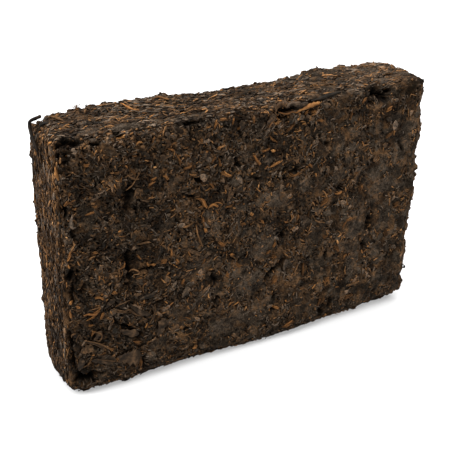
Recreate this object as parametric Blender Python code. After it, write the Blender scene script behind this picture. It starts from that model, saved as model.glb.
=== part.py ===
"""A pressed brick of fermented dark tea, standing on one of its long narrow sides.

The brick is one solid. It starts as a block whose edges are rounded and whose sides are cut into
small facets. Each point is then moved along the block's outward direction there: the sides swell
and sink as pressed leaf does, the edges rise and dip along their length, and leaf has crumbled
away at a few places. The underside stays flat.

Metres, +Z up. The origin is at the middle of the underside. X runs along the brick's length and
Y through its thickness.
"""

import bmesh
import bpy
import numpy as np

# Driving dimensions.
LENGTH = 0.1400  # along X
THICKNESS = 0.0268  # along Y
HEIGHT = 0.0930  # along Z
EDGE_RADIUS = 0.0054  # every edge of the block
EDGE_SEGMENTS = 3  # facets across a rounded edge
FACET = 0.0031  # the longest side of a facet on the flat sides

# How far the pressed sides swell and sink, as (wavelength, height) of a few crossing waves.
SWELLS = ((0.070, 0.00020), (0.041, 0.00016), (0.023, 0.00016), (0.013, 0.00014), (0.009, 0.00010))

# How far an edge stands out from the even block, in mm, at places along it, in mm. An edge is the
# line where two sides would meet, and its unevenness fades over EDGE_REACH towards both of them.
# The edges that meet at the front's top left corner are crisper than the rest: theirs fades sooner.
EDGE_REACH = 0.0070
CRISP_REACH = 0.0048
BACK_TOP_EDGE = (
    (-70, -0.6), (-58, -0.2), (-45, 0.7), (-18, 0.6), (-12, -1.0), (2, -1.1),
    (10, -0.8), (20, -1.5), (30, -0.3), (38, 1.2), (46, 0.9), (53, 0.2), (60, 0.4), (70, -0.4),
)
FRONT_TOP_EDGE = (
    (-70, 0.0), (-62, 0.4), (-54, 1.2), (-40, 1.1), (-20, 1.2), (0, 0.9), (20, 1.5),
    (38, 1.3), (46, 0.1), (52, 0.4), (60, 1.2), (70, 0.2),
)
FRONT_BASE_EDGE = (
    (-66, -0.9), (-50, -0.4), (-32, -1.1), (-18, -1.4), (-6, -0.4), (10, 0.6), (18, 0.4),
    (30, -0.4), (42, -0.8), (52, -1.3), (62, -2.2),
)
RIGHT_FRONT_EDGE = (
    (4, -0.6), (10, 0.2), (22, 0.1), (28, -0.6), (36, 0.0), (46, 0.5), (52, 0.5),
    (58, 0.0), (63, -0.9), (69, 0.3), (75, -0.2), (81, -1.2), (88, -0.3),
)
LEFT_FRONT_EDGE = ((6, -0.6), (20, 0.9), (36, 0.8), (55, 1.3), (72, 1.0), (82, 0.9), (90, 0.0))
LEFT_BACK_EDGE = (
    (8, 0.0), (24, 0.4), (42, 0.1), (53, 0.4), (68, 0.3), (75, -0.2), (84, 0.3), (92, -0.4),
)
RIGHT_BACK_EDGE = ((6, -0.5), (20, 0.3), (38, -0.4), (55, 0.2), (74, -0.5), (88, 0.2))
TOP_LEFT_EDGE = ((-13, 2.0), (-7, 1.4), (0, 1.0), (6, 0.3), (13, 0.0))
BACK_BASE_EDGE = ((-66, -0.6), (-48, 0.2), (-25, -0.4), (0, 0.2), (28, -0.5), (50, 0.1), (66, -0.7))

# Places where leaf has crumbled away or stands up, as (x, y, z, reach, height) in mm.
CRUMBLED = (
    (-70, -13, 93, 4.0, 1.6),  # top corner at the left end of the front, and a pit beside it
    (-65, -14, 93, 2.5, -0.9),
    (-49, -14, 91, 2.5, -0.7),
    (45, -14, 90, 3.5, -1.3),  # pit under the front's top edge
    (51, -14, 91, 2.5, -0.9),
    (-65, -14, 8, 4.0, -1.3),  # hollow at the front's lower left corner
    (-67, -14, 22, 4.0, -0.7),
    (-48, -14, 66, 3.0, -0.5),
    (-48, -14, 45, 4.0, -0.6),
    (69, -12, 11, 2.5, -1.0),  # notch in the right end, with a leaf end above it
    (69, -12, 14, 1.8, 0.8),
    (-20, 14, 90, 5.0, -0.9),  # the back
    (58, 14, 6, 5.0, -1.0),
    (-60, 14, 40, 5.0, -0.6),
    (20, 14, 30, 7.0, 0.4),
    (70, 4, 60, 5.0, -0.6),
)


def evenly(low, high, step):
    """Places between low and high, both left out, no further apart than step."""
    count = int(np.ceil((high - low) / step))
    return np.linspace(low, high, count + 1)[1:-1]


def add_block(name):
    """An object with the even block: a cube to size, its edges rounded, its flat sides in facets."""
    block = bmesh.new()
    bmesh.ops.create_cube(block, size=1.0)
    bmesh.ops.translate(block, verts=block.verts, vec=(0.0, 0.0, 0.5))
    bmesh.ops.scale(block, verts=block.verts, vec=(LENGTH, THICKNESS, HEIGHT))
    bmesh.ops.bevel(
        block,
        geom=block.edges[:],
        offset=EDGE_RADIUS,
        segments=EDGE_SEGMENTS,
        profile=0.5,
        affect="EDGES",
    )
    half_length = LENGTH / 2 - EDGE_RADIUS
    half_thickness = THICKNESS / 2 - EDGE_RADIUS
    flats = (
        ((1, 0, 0), -half_length, half_length),
        ((0, 1, 0), -half_thickness, half_thickness),
        ((0, 0, 1), EDGE_RADIUS, HEIGHT - EDGE_RADIUS),
    )
    for direction, low, high in flats:
        for place in evenly(low, high, FACET):
            cut_through(block, direction, place)
    bmesh.ops.recalc_face_normals(block, faces=block.faces)
    mesh = bpy.data.meshes.new(name)
    block.to_mesh(mesh)
    block.free()
    return bpy.data.objects.new(name, mesh)


def cut_through(block, direction, place):
    """Cuts every face that a plane square to direction meets at this distance from the origin."""
    everything = block.verts[:] + block.edges[:] + block.faces[:]
    at = [place * share for share in direction]
    bmesh.ops.bisect_plane(block, geom=everything, dist=1e-7, plane_co=at, plane_no=direction)


def outward(points):
    """The block's outward direction at each point: away from the nearest point of the inner box,
    which is the block less EDGE_RADIUS on every side."""
    low = np.array((-LENGTH / 2, -THICKNESS / 2, 0.0)) + EDGE_RADIUS
    high = np.array((LENGTH / 2, THICKNESS / 2, HEIGHT)) - EDGE_RADIUS
    away = points - np.clip(points, low, high)
    return away / np.linalg.norm(away, axis=1, keepdims=True)


def swell(points):
    """Height of the pressed sides: for each wavelength the mean of three sine waves that run in
    directions a third of a turn apart round a tilted axis, so that none follows a side."""
    height = np.zeros(len(points))
    for number, (wavelength, most) in enumerate(SWELLS):
        for third in range(3):
            turn = 2 * np.pi * third / 3 + 0.7 * number
            direction = np.array((np.cos(turn), 0.8 * np.sin(turn + 0.5), np.sin(turn)))
            phase = 1.9 * number + 2.3 * third
            height += most * np.sin(points @ direction * 2 * np.pi / wavelength + phase) / 1.5
    return height


def along_edge(points, run, sides, stations, reach=EDGE_REACH):
    """How near each point is to one edge, as a bell curve of the distance from it, and the height
    that the edge has there, read between its stations. run is the axis that the edge follows, and
    sides are its places on the other two."""
    places, heights = np.array(stations, float).T / 1000
    across = [axis for axis in range(3) if axis != run]
    off = ((points[:, across] - sides) ** 2).sum(axis=1)
    return np.exp(-off / reach**2), np.interp(points[:, run], places, heights)


def uneven_edges(points):
    """The height that the uneven edges add, and how near each point is to the nearest of them."""
    right, back = LENGTH / 2, THICKNESS / 2
    edges = (
        (0, (back, HEIGHT), BACK_TOP_EDGE),
        (0, (-back, HEIGHT), FRONT_TOP_EDGE, CRISP_REACH),
        (0, (-back, 0.0), FRONT_BASE_EDGE),
        (0, (back, 0.0), BACK_BASE_EDGE),
        (2, (right, -back), RIGHT_FRONT_EDGE),
        (2, (right, back), RIGHT_BACK_EDGE),
        (2, (-right, -back), LEFT_FRONT_EDGE, CRISP_REACH),
        (2, (-right, back), LEFT_BACK_EDGE),
        (1, (-right, HEIGHT), TOP_LEFT_EDGE, CRISP_REACH),
    )
    found = [along_edge(points, *edge) for edge in edges]
    return sum(near * height for near, height in found), np.max([near for near, _ in found], axis=0)


def crumbled(points):
    """The sum of a bell-shaped hollow or bump at each place where leaf has gone or stands up."""
    height = np.zeros(len(points))
    for x, y, z, reach, most in np.array(CRUMBLED) / 1000:
        off = ((points - (x, y, z)) ** 2).sum(axis=1)
        height += most * np.exp(-off / reach**2)
    return height


def press_unevenly(brick):
    """Moves each point out or in by its unevenness: an edge's own near that edge, and the swell of
    the sides elsewhere. It has none where the block faces down, so that the underside is flat, and
    nothing comes below it. The brick is then centred in X and Y."""
    mesh = brick.data
    points = np.empty(len(mesh.vertices) * 3)
    mesh.vertices.foreach_get("co", points)
    points = points.reshape(-1, 3)
    direction = outward(points)
    sideways = np.clip((direction[:, 2] + 0.97) / 0.35, 0.0, 1.0)
    edges, near_edge = uneven_edges(points)
    height = swell(points) * (1 - near_edge) + edges + crumbled(points)
    points += direction * (height * sideways)[:, None]
    points[:, 2] = np.maximum(points[:, 2], 0.0)
    points[:, :2] -= (points[:, :2].min(axis=0) + points[:, :2].max(axis=0)) / 2
    mesh.vertices.foreach_set("co", points.ravel())
    mesh.shade_smooth()
    mesh.update()


def pressed_leaf():
    """Dark fermented leaf, dry and dull."""
    material = bpy.data.materials.new("pressed_leaf")
    material.use_nodes = True
    shader = material.node_tree.nodes["Principled BSDF"]
    shader.inputs["Base Color"].default_value = (0.040, 0.024, 0.014, 1.0)
    shader.inputs["Roughness"].default_value = 0.75
    shader.inputs["Metallic"].default_value = 0.0
    return material


for old in list(bpy.data.objects):
    bpy.data.objects.remove(old, do_unlink=True)

brick = add_block("tea_brick")
press_unevenly(brick)
brick.data.materials.append(pressed_leaf())
collection = bpy.data.collections.new("pressed tea brick")
bpy.context.scene.collection.children.link(collection)
collection.objects.link(brick)
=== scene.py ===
"""The looks of a brick of pressed, fermented dark tea: thousands of leaf fragments packed into a
mass of finer scraps, on a white studio floor. Metres, +Z up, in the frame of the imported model."""

import bpy
import numpy as np
from mathutils import Matrix, Vector


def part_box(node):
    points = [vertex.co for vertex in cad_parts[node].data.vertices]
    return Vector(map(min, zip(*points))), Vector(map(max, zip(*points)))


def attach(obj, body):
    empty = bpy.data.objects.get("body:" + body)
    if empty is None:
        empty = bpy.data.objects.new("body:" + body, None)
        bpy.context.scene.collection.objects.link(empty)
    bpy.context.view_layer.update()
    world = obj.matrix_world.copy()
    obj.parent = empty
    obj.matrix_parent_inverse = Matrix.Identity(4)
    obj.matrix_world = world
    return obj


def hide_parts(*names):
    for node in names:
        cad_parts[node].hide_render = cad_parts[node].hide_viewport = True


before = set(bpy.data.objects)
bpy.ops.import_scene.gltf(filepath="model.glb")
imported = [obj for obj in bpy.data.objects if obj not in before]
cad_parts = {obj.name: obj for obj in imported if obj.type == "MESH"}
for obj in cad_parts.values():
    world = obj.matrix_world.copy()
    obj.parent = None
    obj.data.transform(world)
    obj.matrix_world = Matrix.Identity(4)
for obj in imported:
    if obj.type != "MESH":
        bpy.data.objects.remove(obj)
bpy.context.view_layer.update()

# ---------------------------------------------------------------------------------------------
# The pressed mass: small scraps of leaf that steam and the press have made one body. It is made in
# three closed layers, which lie along the big sides, and stands in for the solid.

MM = 0.001
lowest, highest = (np.array(corner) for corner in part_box("tea_brick"))
SWOLLEN = 0.6 * MM  # how far the pressed sides bulge past the even block, more or less
ROUND = 5.4 * MM  # radius of the mould's corners
low, high = lowest + SWOLLEN * np.array((1, 1, 0)), highest - SWOLLEN

PITCH = 0.405 * MM  # distance between the points of the relief
SIDES = {"left": (0, 0), "right": (0, 1), "front": (1, 0), "back": (1, 1), "base": (2, 0), "top": (2, 1)}

# Places where leaf has dropped out or split: for each side, where each starts and ends on it, how
# wide and how deep, in mm. Places on a side are x and z, but x and y on the top and the base, and y
# and z on an end.
PITS = {
    "front": (
        ((-66.8, 93.8), (-63.6, 92.4), 1.4, 2.2),  # under the top edge, at its left end
        ((-70.3, 92.0), (-67.5, 91.8), 0.8, 1.6),
        ((-59.5, 90.8), (-56.0, 89.8), 0.45, 1.3),
        ((-69.7, 88.8), (-69.8, 87.0), 0.4, 1.3),
        ((-50.2, 92.4), (-48.6, 91.6), 0.7, 1.3),
        ((-27.3, 92.6), (-21.4, 91.3), 0.7, 1.1),
        ((-9.8, 76.2), (-8.3, 73.9), 0.9, 1.6),
        ((-23.9, 72.3), (-22.2, 71.0), 0.7, 1.5),
        ((46.6, 91.0), (49.0, 88.8), 2.0, 2.7),  # under the top edge, at its right end
        ((50.3, 91.6), (51.2, 91.2), 1.1, 2.4),
        ((43.3, 87.7), (43.8, 87.2), 0.9, 1.6),
        ((6.0, 90.6), (21.0, 91.6), 0.8, 1.5),  # behind the golden stem
        ((4.5, 88.6), (9.0, 87.9), 0.6, 1.3),
        ((-54.1, 29.8), (-52.9, 26.5), 0.45, 1.5),  # under the curled leaf's rim
        ((-52.9, 26.5), (-50.9, 24.8), 0.45, 1.5),
        ((-50.9, 24.8), (-48.2, 23.6), 0.45, 1.4),
        ((-65.3, 46.8), (-64.8, 49.1), 0.5, 1.4),
        ((-71.4, 38.5), (-71.4, 34.6), 0.4, 1.3),
        ((-62.8, 43.8), (-63.9, 41.3), 0.45, 1.4),
        ((-43.9, 43.6), (-39.9, 44.3), 0.45, 1.3),
        ((-39.7, 15.9), (-36.8, 16.6), 0.4, 1.3),
        ((-36.8, 16.6), (-34.6, 18.6), 0.4, 1.3),
        ((-34.6, 18.6), (-34.8, 21.7), 0.4, 1.2),
        ((-38.7, 30.1), (-35.9, 30.8), 0.4, 1.2),
        ((-35.9, 30.8), (-30.6, 33.4), 0.4, 1.2),
        ((-66.5, 87.5), (-66.5, 85.5), 0.9, 1.4),
        ((-68.3, 71.5), (-68.9, 69.0), 1.1, 1.9),
        ((-66.0, 63.0), (-65.5, 60.0), 0.8, 1.3),
        ((-46.8, 74.0), (-48.2, 67.5), 1.1, 1.9),  # splits down the front
        ((-44.5, 68.0), (-45.0, 65.0), 0.5, 1.3),
        ((-48.5, 51.5), (-47.5, 42.0), 0.9, 2.0),
        ((-49.5, 40.0), (-47.0, 39.5), 0.6, 1.4),
        ((-67.6, 49.5), (-68.7, 46.7), 0.9, 1.9),
        ((-67.2, 44.5), (-68.1, 41.7), 0.7, 1.8),
        ((-68.1, 41.7), (-67.4, 38.0), 0.5, 1.6),
        ((-64.5, 41.5), (-62.0, 45.0), 0.5, 1.2),
        ((-67.5, 8.5), (-62.5, 7.5), 2.2, 2.8),  # hollow at the lower left corner
        ((-70.3, 27.0), (-70.2, 21.5), 0.7, 1.9),  # a split beside the left edge
        ((-69.4, 19.5), (-69.0, 13.0), 0.7, 1.9),
        ((-61.0, 8.0), (-57.5, 8.5), 0.5, 1.3),
        ((-46.0, 19.5), (-44.0, 19.0), 0.7, 1.4),
        ((-43.5, 9.5), (-43.0, 6.0), 0.6, 1.5),
        ((4.5, 27.5), (11.0, 34.0), 0.7, 1.6),
        ((9.0, 43.5), (11.5, 46.5), 0.7, 1.6),
        ((-15.5, 25.5), (-16.5, 21.5), 0.7, 1.4),
        ((-18.5, 36.5), (-16.0, 32.0), 0.7, 1.3),
        ((-3.0, 69.0), (-1.0, 67.5), 0.8, 1.5),
        ((32.0, 57.0), (34.0, 57.5), 0.8, 1.7),
        ((12.0, 67.5), (14.0, 68.0), 0.8, 1.6),
        ((29.5, 31.0), (29.5, 29.5), 0.6, 1.5),
        ((47.8, 41.5), (47.6, 38.0), 1.0, 1.1),
        ((46.0, 31.5), (46.6, 30.0), 0.9, 1.1),
        ((29.3, 31.8), (29.4, 30.6), 0.6, 1.3),
        ((9.6, 45.4), (10.4, 43.4), 0.6, 1.5),
        ((33.0, 41.0), (34.0, 40.4), 0.8, 1.0),
        ((29.3, 7.2), (28.9, 6.0), 0.8, 1.1),
        ((33.2, 11.6), (32.8, 9.6), 0.8, 1.1),
        ((4.2, 28.0), (6.0, 29.8), 0.6, 1.2),
        ((10.0, 31.0), (10.8, 32.8), 0.5, 1.3),
        ((26.2, 75.2), (26.8, 74.8), 0.6, 1.2),
        ((9.6, 65.8), (10.4, 66.0), 0.6, 1.2),
        ((-43.4, 9.6), (-43.2, 7.2), 0.6, 1.4),
        ((-45.8, 18.8), (-45.2, 18.0), 0.6, 1.3),
        ((-70.0, 25.0), (-70.0, 22.0), 0.6, 1.3),
        ((33.5, 11.5), (32.5, 8.0), 0.8, 1.4),
        ((8.0, 14.0), (8.5, 13.5), 0.9, 1.5),
        ((-22.5, 9.5), (-22.5, 6.5), 0.5, 1.1),
        ((-27.0, 67.0), (-25.0, 66.0), 0.6, 1.2),
        ((59.0, 70.0), (60.5, 67.0), 0.7, 1.3),
    ),
    "top": (
        ((-69.5, 3.0), (-66.5, 9.0), 2.0, 1.1),  # the back corner at the left end
        ((2.0, -2.0), (5.0, -1.8), 0.7, 1.6),
        ((-4.5, -6.5), (-1.5, -6.3), 0.6, 1.5),
        ((-50.0, 3.0), (-45.5, 3.2), 0.5, 1.4),
        ((27.0, 2.0), (33.0, 2.6), 0.5, 1.3),
        ((-30.0, -4.0), (-26.0, -4.2), 0.5, 1.3),
        ((52.0, -5.0), (57.0, -5.2), 0.6, 1.5),
        ((-18.0, 7.0), (-13.0, 6.6), 0.5, 1.4),
        ((11.0, 11.5), (16.2, 11.5), 1.3, 0.6),  # dips in the outline
        ((41.5, 11.5), (43.5, 11.5), 0.9, 0.6),
        ((51.8, 11.5), (52.8, 11.5), 0.7, 0.4),
        ((-17.8, 11.5), (-13.0, 11.5), 1.1, 0.45),
        ((67.2, 11.5), (70.5, 11.5), 1.0, 0.5),
    ),
    "left": (
        ((-8.5, 89.0), (-9.0, 84.0), 0.6, 1.4),
        ((-4.0, 64.0), (-4.2, 60.0), 0.6, 1.5),
        ((5.5, 42.0), (5.2, 36.0), 0.5, 1.3),
        ((-9.5, 30.0), (-9.2, 22.0), 0.6, 1.4),
        ((0.5, 18.0), (0.2, 12.0), 0.5, 1.3),
    ),
    "right": (
        ((-11.4, 87.0), (-11.4, 83.5), 1.0, 0.6),
        ((-11.4, 64.4), (-11.4, 63.9), 0.7, 0.8),
        ((-11.4, 52.0), (-11.4, 50.6), 0.8, 0.6),
        ((-11.4, 43.3), (-11.4, 43.0), 0.6, 0.4),
        ((-11.4, 36.9), (-11.4, 36.6), 0.6, 0.4),
        ((-11.4, 12.6), (-11.4, 11.0), 1.2, 2.0),  # a notch near the base
        ((-6.0, 70.0), (-6.5, 64.0), 0.6, 1.5),
        ((3.0, 41.0), (3.2, 34.0), 0.8, 1.5),
        ((-2.0, 20.0), (-1.6, 14.0), 0.6, 1.3),
    ),
    "back": (
        ((37.0, 64.0), (38.0, 61.5), 1.1, 1.3),
        ((-22.0, 38.0), (-20.5, 36.5), 0.9, 1.3),
        ((-57.0, 80.0), (-54.5, 81.0), 1.3, 1.4),
        ((11.0, 14.0), (13.0, 12.5), 0.9, 1.2),
        ((61.0, 28.0), (60.6, 26.0), 0.7, 1.1),
        ((-63.0, 22.0), (-62.4, 19.0), 0.8, 1.2),
        ((0.0, 76.0), (2.0, 74.8), 0.6, 1.1),
    ),
}

# Where the outline stands out or is drawn in: on each side, from where to where along the line that
# the outline follows there, how wide and how far, in mm. LINES has each line's place across its side.
OUTLINE = {
    "top": (
        (-69.0, -64.5, 2.0, -1.3),
        (-61.5, -59.0, 1.0, 0.4),
        (-58.6, -57.6, 0.8, -0.8),
        (-56.0, -52.5, 0.9, 0.5),
        (-52.0, -50.4, 0.9, -0.6),
        (-49.8, -48.4, 1.0, 0.8),
        (-45.2, -44.0, 0.7, 0.6),
        (-42.4, -38.8, 1.0, -0.7),
        (-24.6, -23.0, 0.9, 0.7),
        (-19.0, -16.0, 1.5, -2.4),
        (-15.4, -13.0, 1.3, -1.5),
        (-12.4, -9.8, 1.3, -1.1),
        (-1.6, 2.4, 1.0, 0.7),
        (3.2, 4.4, 0.8, -0.5),
        (6.3, 6.9, 0.6, 0.4),
        (9.8, 12.8, 1.5, -2.1),
        (13.4, 18.0, 1.5, -1.8),
        (21.0, 24.0, 1.0, 1.0),
        (24.6, 25.4, 0.7, -0.5),
        (26.4, 28.6, 0.9, 0.8),
        (31.5, 37.0, 1.5, 1.05),
        (37.5, 40.5, 1.4, 0.3),
        (47.0, 48.6, 1.0, 0.8),
        (52.2, 55.0, 0.9, -0.45),
        (58.5, 62.5, 1.1, 0.4),
    ),
    "right": (
        (92.5, 91.5, 1.0, 0.7),
        (91.0, 90.0, 0.9, -1.0),
        (87.5, 82.5, 1.2, -1.2),
        (74.5, 69.0, 1.2, 0.45),
        (64.6, 63.3, 0.9, -1.7),
        (62.9, 61.7, 0.8, 0.7),
        (58.0, 57.0, 0.8, 1.0),
        (54.6, 54.2, 0.7, 0.8),
        (51.5, 50.5, 0.9, -1.5),
        (49.3, 46.0, 0.9, 0.65),
        (45.7, 44.4, 0.7, 0.5),
        (39.5, 35.5, 0.9, -0.3),
        (33.2, 31.4, 0.8, 0.5),
        (30.6, 28.6, 0.8, -0.45),
        (26.2, 22.5, 0.9, 0.55),
        (21.2, 19.4, 0.8, -0.45),
    ),
    "left": (
        (92.2, 91.0, 1.0, 0.8),
        (87.0, 85.4, 0.9, -0.4),
        (82.5, 80.0, 1.0, 0.3),
        (79.9, 79.5, 0.6, 1.0),
        (78.6, 75.0, 0.9, -0.6),
        (70.8, 70.0, 0.6, 0.4),
        (62.6, 61.6, 0.9, -0.35),
        (56.8, 55.6, 0.7, 0.55),
        (41.3, 40.5, 0.6, 0.4),
        (28.3, 27.0, 0.7, 0.6),
        (20.0, 16.6, 1.1, -1.0),
        (11.0, 8.5, 1.5, 0.4),
        (6.5, 4.8, 1.0, -0.5),
    ),
    "base": (
        (-66.0, -59.0, 2.0, -0.85),
        (-58.0, -52.0, 1.8, -0.6),
        (-50.5, -47.5, 1.2, 0.2),
        (-40.0, -26.0, 2.0, -0.7),
        (-25.0, -22.5, 1.6, -1.3),
        (-21.0, -14.0, 1.8, -0.4),
        (-10.2, -9.0, 1.2, -0.5),
        (12.5, 15.0, 1.4, -0.5),
        (16.0, 21.8, 1.6, -1.3),
        (26.5, 33.0, 1.8, -0.65),
        (35.8, 42.0, 1.8, -0.7),
        (43.5, 50.0, 1.8, -0.35),
        (51.5, 64.0, 2.6, -2.1),
    ),
}
LINES = {"top": 11.5, "right": -11.4, "left": 11.4, "base": -11.5}

# Single heaps and, where the height is below 0, a dent, in the way of the pits: how wide and how high.
HEAPS = {
    "right": (
        ((-11.0, 8.0), (-11.0, 5.0), 2.2, 1.6),
    ),
    "top": (
        ((67.2, 10.5), (72.0, 10.5), 3.4, -2.4),
    ),
    "back": (
        ((-40.0, 60.0), (-35.0, 57.0), 1.5, 0.5),
        ((25.0, 48.0), (30.0, 50.0), 1.5, 0.5),
    ),
}

# Places where the leaf is lighter or darker, in the way of the pits: how wide, and the change of tone.
# The lighter ones are lighter leaf. The darker ones are mostly painted shade: in and beside pits,
# splits and gaps, under the front's top edge, over the top, and on the left end.
SHADES = {
    "front": (
        ((47.0, 56.0), (65.0, 75.0), 3.6, 0.22),
        ((1.0, 58.5), (11.0, 59.0), 3.0, 0.24),
        ((-3.5, 25.0), (-2.0, 30.0), 3.5, 0.22),
        ((-16.0, 13.5), (-2.0, 17.0), 4.0, 0.18),
        ((-31.0, 12.0), (-29.0, 20.0), 3.0, 0.18),
        ((54.0, 38.0), (54.5, 46.0), 2.5, 0.22),
        ((31.0, 72.0), (32.0, 73.0), 2.0, 0.22),
        ((17.5, 62.0), (18.0, 65.0), 2.0, 0.22),
        ((1.0, 38.0), (6.0, 45.0), 2.5, 0.2),
        ((41.0, 24.0), (43.0, 32.0), 2.5, 0.18),
        ((-28.5, 38.0), (-23.5, 42.0), 1.6, 0.2),
        ((-10.0, 34.0), (-9.0, 38.0), 2.0, 0.15),
        ((30.0, 20.0), (31.0, 21.0), 2.5, 0.18),
        ((58.0, 90.5), (69.0, 91.5), 3.0, -0.45),
        ((42.0, 92.0), (46.0, 91.0), 2.5, -0.18),
        ((47.6, 38.0), (47.2, 47.0), 2.0, -0.30),
        ((46.2, 30.0), (46.2, 31.5), 1.6, -0.25),
        ((33.0, 39.8), (34.0, 41.0), 1.8, -0.25),
        ((52.3, 20.0), (52.3, 22.0), 1.6, -0.2),
        ((37.5, 15.6), (37.5, 17.6), 2.2, -0.22),
        ((29.3, 6.6), (33.3, 10.8), 1.8, -0.22),
        ((15.0, 56.0), (16.0, 59.0), 1.6, -0.22),
        ((54.0, 45.5), (54.6, 49.0), 1.6, -0.2),
        ((41.8, 37.4), (41.8, 40.4), 2.4, 0.22),
        ((17.4, 61.0), (17.6, 63.4), 1.8, 0.18),
        ((50.0, 54.0), (52.0, 55.6), 2.2, 0.15),
        ((42.4, 24.0), (42.4, 27.0), 2.0, 0.12),
        ((8.5, 46.0), (9.5, 51.0), 2.0, -0.25),
        ((-18.0, 33.0), (-18.0, 44.0), 2.0, -0.18),
        ((58.0, 20.0), (62.0, 26.0), 4.0, -0.18),
        ((-69.5, 70.0), (-69.0, 80.0), 1.6, -0.40),
        ((-69.0, 84.0), (-66.0, 92.0), 2.4, -0.35),
        ((-47.5, 67.0), (-47.5, 73.0), 2.2, -0.35),
        ((-48.4, 58.0), (-48.4, 62.0), 1.6, -0.30),
        ((-48.2, 43.0), (-48.2, 52.0), 1.6, -0.25),
        ((-67.5, 43.0), (-67.0, 49.0), 2.2, -0.35),
        ((-69.0, 15.0), (-68.0, 28.0), 2.4, -0.40),
        ((-67.0, 5.0), (-64.0, 11.0), 4.0, -0.45),
        ((-46.0, 13.0), (-43.5, 22.0), 2.2, -0.28),
        ((-10.0, 40.0), (-9.0, 44.0), 1.6, -0.22),
        ((11.0, 67.0), (11.5, 70.0), 1.8, -0.2),
        ((-43.0, 80.0), (-41.5, 85.0), 2.5, -0.15),
        ((-29.0, 91.5), (-23.0, 91.5), 2.0, -0.35),
        ((-13.0, 91.0), (-8.0, 91.0), 1.8, -0.3),
        ((54.0, 84.0), (60.0, 86.0), 2.2, -0.2),
        ((28.0, 43.0), (33.0, 43.0), 1.6, -0.2),
        ((-42.0, 35.0), (-42.0, 38.0), 2.5, -0.2),
        ((50.0, 18.0), (50.0, 75.0), 15.0, 0.07),
    ),
    # on the left end, the darker rows are painted shade, low down and midway
    "left": (
        ((-12.0, 84.0), (-11.0, 66.0), 2.5, 0.12),
        ((-8.0, 14.0), (8.0, 10.0), 13.0, -0.14),
        ((-4.0, 58.0), (-4.0, 34.0), 10.0, -0.07),
    ),
    # painted shade over the top
    "top": (
        ((-60.0, 3.0), (-38.0, 3.0), 13.0, -0.07),
        ((-25.0, 3.0), (32.0, 3.0), 13.0, -0.14),
    ),
}

# Broad pieces of leaf that the press has laid flat: for each side, where each lies on it, how long
# and how wide, its turn from the level, and its tone from dark to light, in mm and degrees.
SMOOTHED = {
    "front": (
        (-25.0, 38.5, 11.0, 7.0, 25, 0.50),
        (2.5, 41.0, 11.0, 9.0, 70, 0.55),
        (-3.5, 28.0, 13.0, 9.0, -20, 0.50),
        (-10.0, 13.0, 16.0, 9.0, 10, 0.50),
        (3.0, 14.0, 12.0, 8.0, 20, 0.55),
        (7.5, 58.0, 10.0, 6.5, -15, 0.62),
        (18.5, 61.0, 6.5, 5.0, 60, 0.66),
        (42.0, 40.0, 11.0, 8.0, 75, 0.62),
        (42.5, 24.0, 11.0, 7.0, 80, 0.58),
        (55.0, 41.0, 13.0, 9.0, 80, 0.58),
        (53.0, 54.0, 12.0, 7.0, 10, 0.66),
        (40.5, 32.5, 8.0, 6.0, 0, 0.40),
        (60.0, 66.0, 11.0, 7.0, 60, 0.60),
        (50.0, 60.0, 8.0, 5.0, 45, 0.62),
        (62.5, 76.0, 9.0, 5.0, 40, 0.58),
        (33.0, 62.0, 7.0, 5.0, 70, 0.50),
        (27.0, 28.0, 9.0, 6.0, 60, 0.48),
        (36.0, 14.0, 9.0, 5.5, 10, 0.50),
        (31.0, 74.0, 9.0, 6.0, 80, 0.50),
        (24.0, 40.0, 9.0, 6.0, 40, 0.45),
        (-28.0, 22.0, 11.0, 8.0, -60, 0.45),
        (-38.0, 13.0, 8.0, 5.0, 10, 0.42),
        (-34.0, 58.0, 7.0, 4.5, 50, 0.38),
        (-60.0, 66.0, 8.0, 5.0, 70, 0.45),
        (62.0, 20.0, 9.0, 6.0, 50, 0.52),
        (22.0, 12.0, 10.0, 6.0, 0, 0.50),
    ),
    "top": (
        (-58.0, -9.5, 8.0, 3.5, 5, 0.60),
        (-46.0, -10.5, 9.0, 3.5, -4, 0.66),
        (-34.0, -10.2, 9.5, 3.2, -8, 0.85),
        (-22.0, -10.5, 7.0, 3.0, 0, 0.60),
        (4.0, 4.0, 5.0, 4.0, 10, 0.35),
        (34.5, 7.0, 9.0, 5.5, 10, 0.55),
        (22.0, 6.0, 8.0, 4.5, 5, 0.52),
        (36.0, -4.0, 9.0, 4.0, 5, 0.62),
        (52.0, 3.0, 10.0, 4.5, -6, 0.60),
        (62.0, -6.0, 8.0, 4.0, 0, 0.58),
    ),
}

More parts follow.
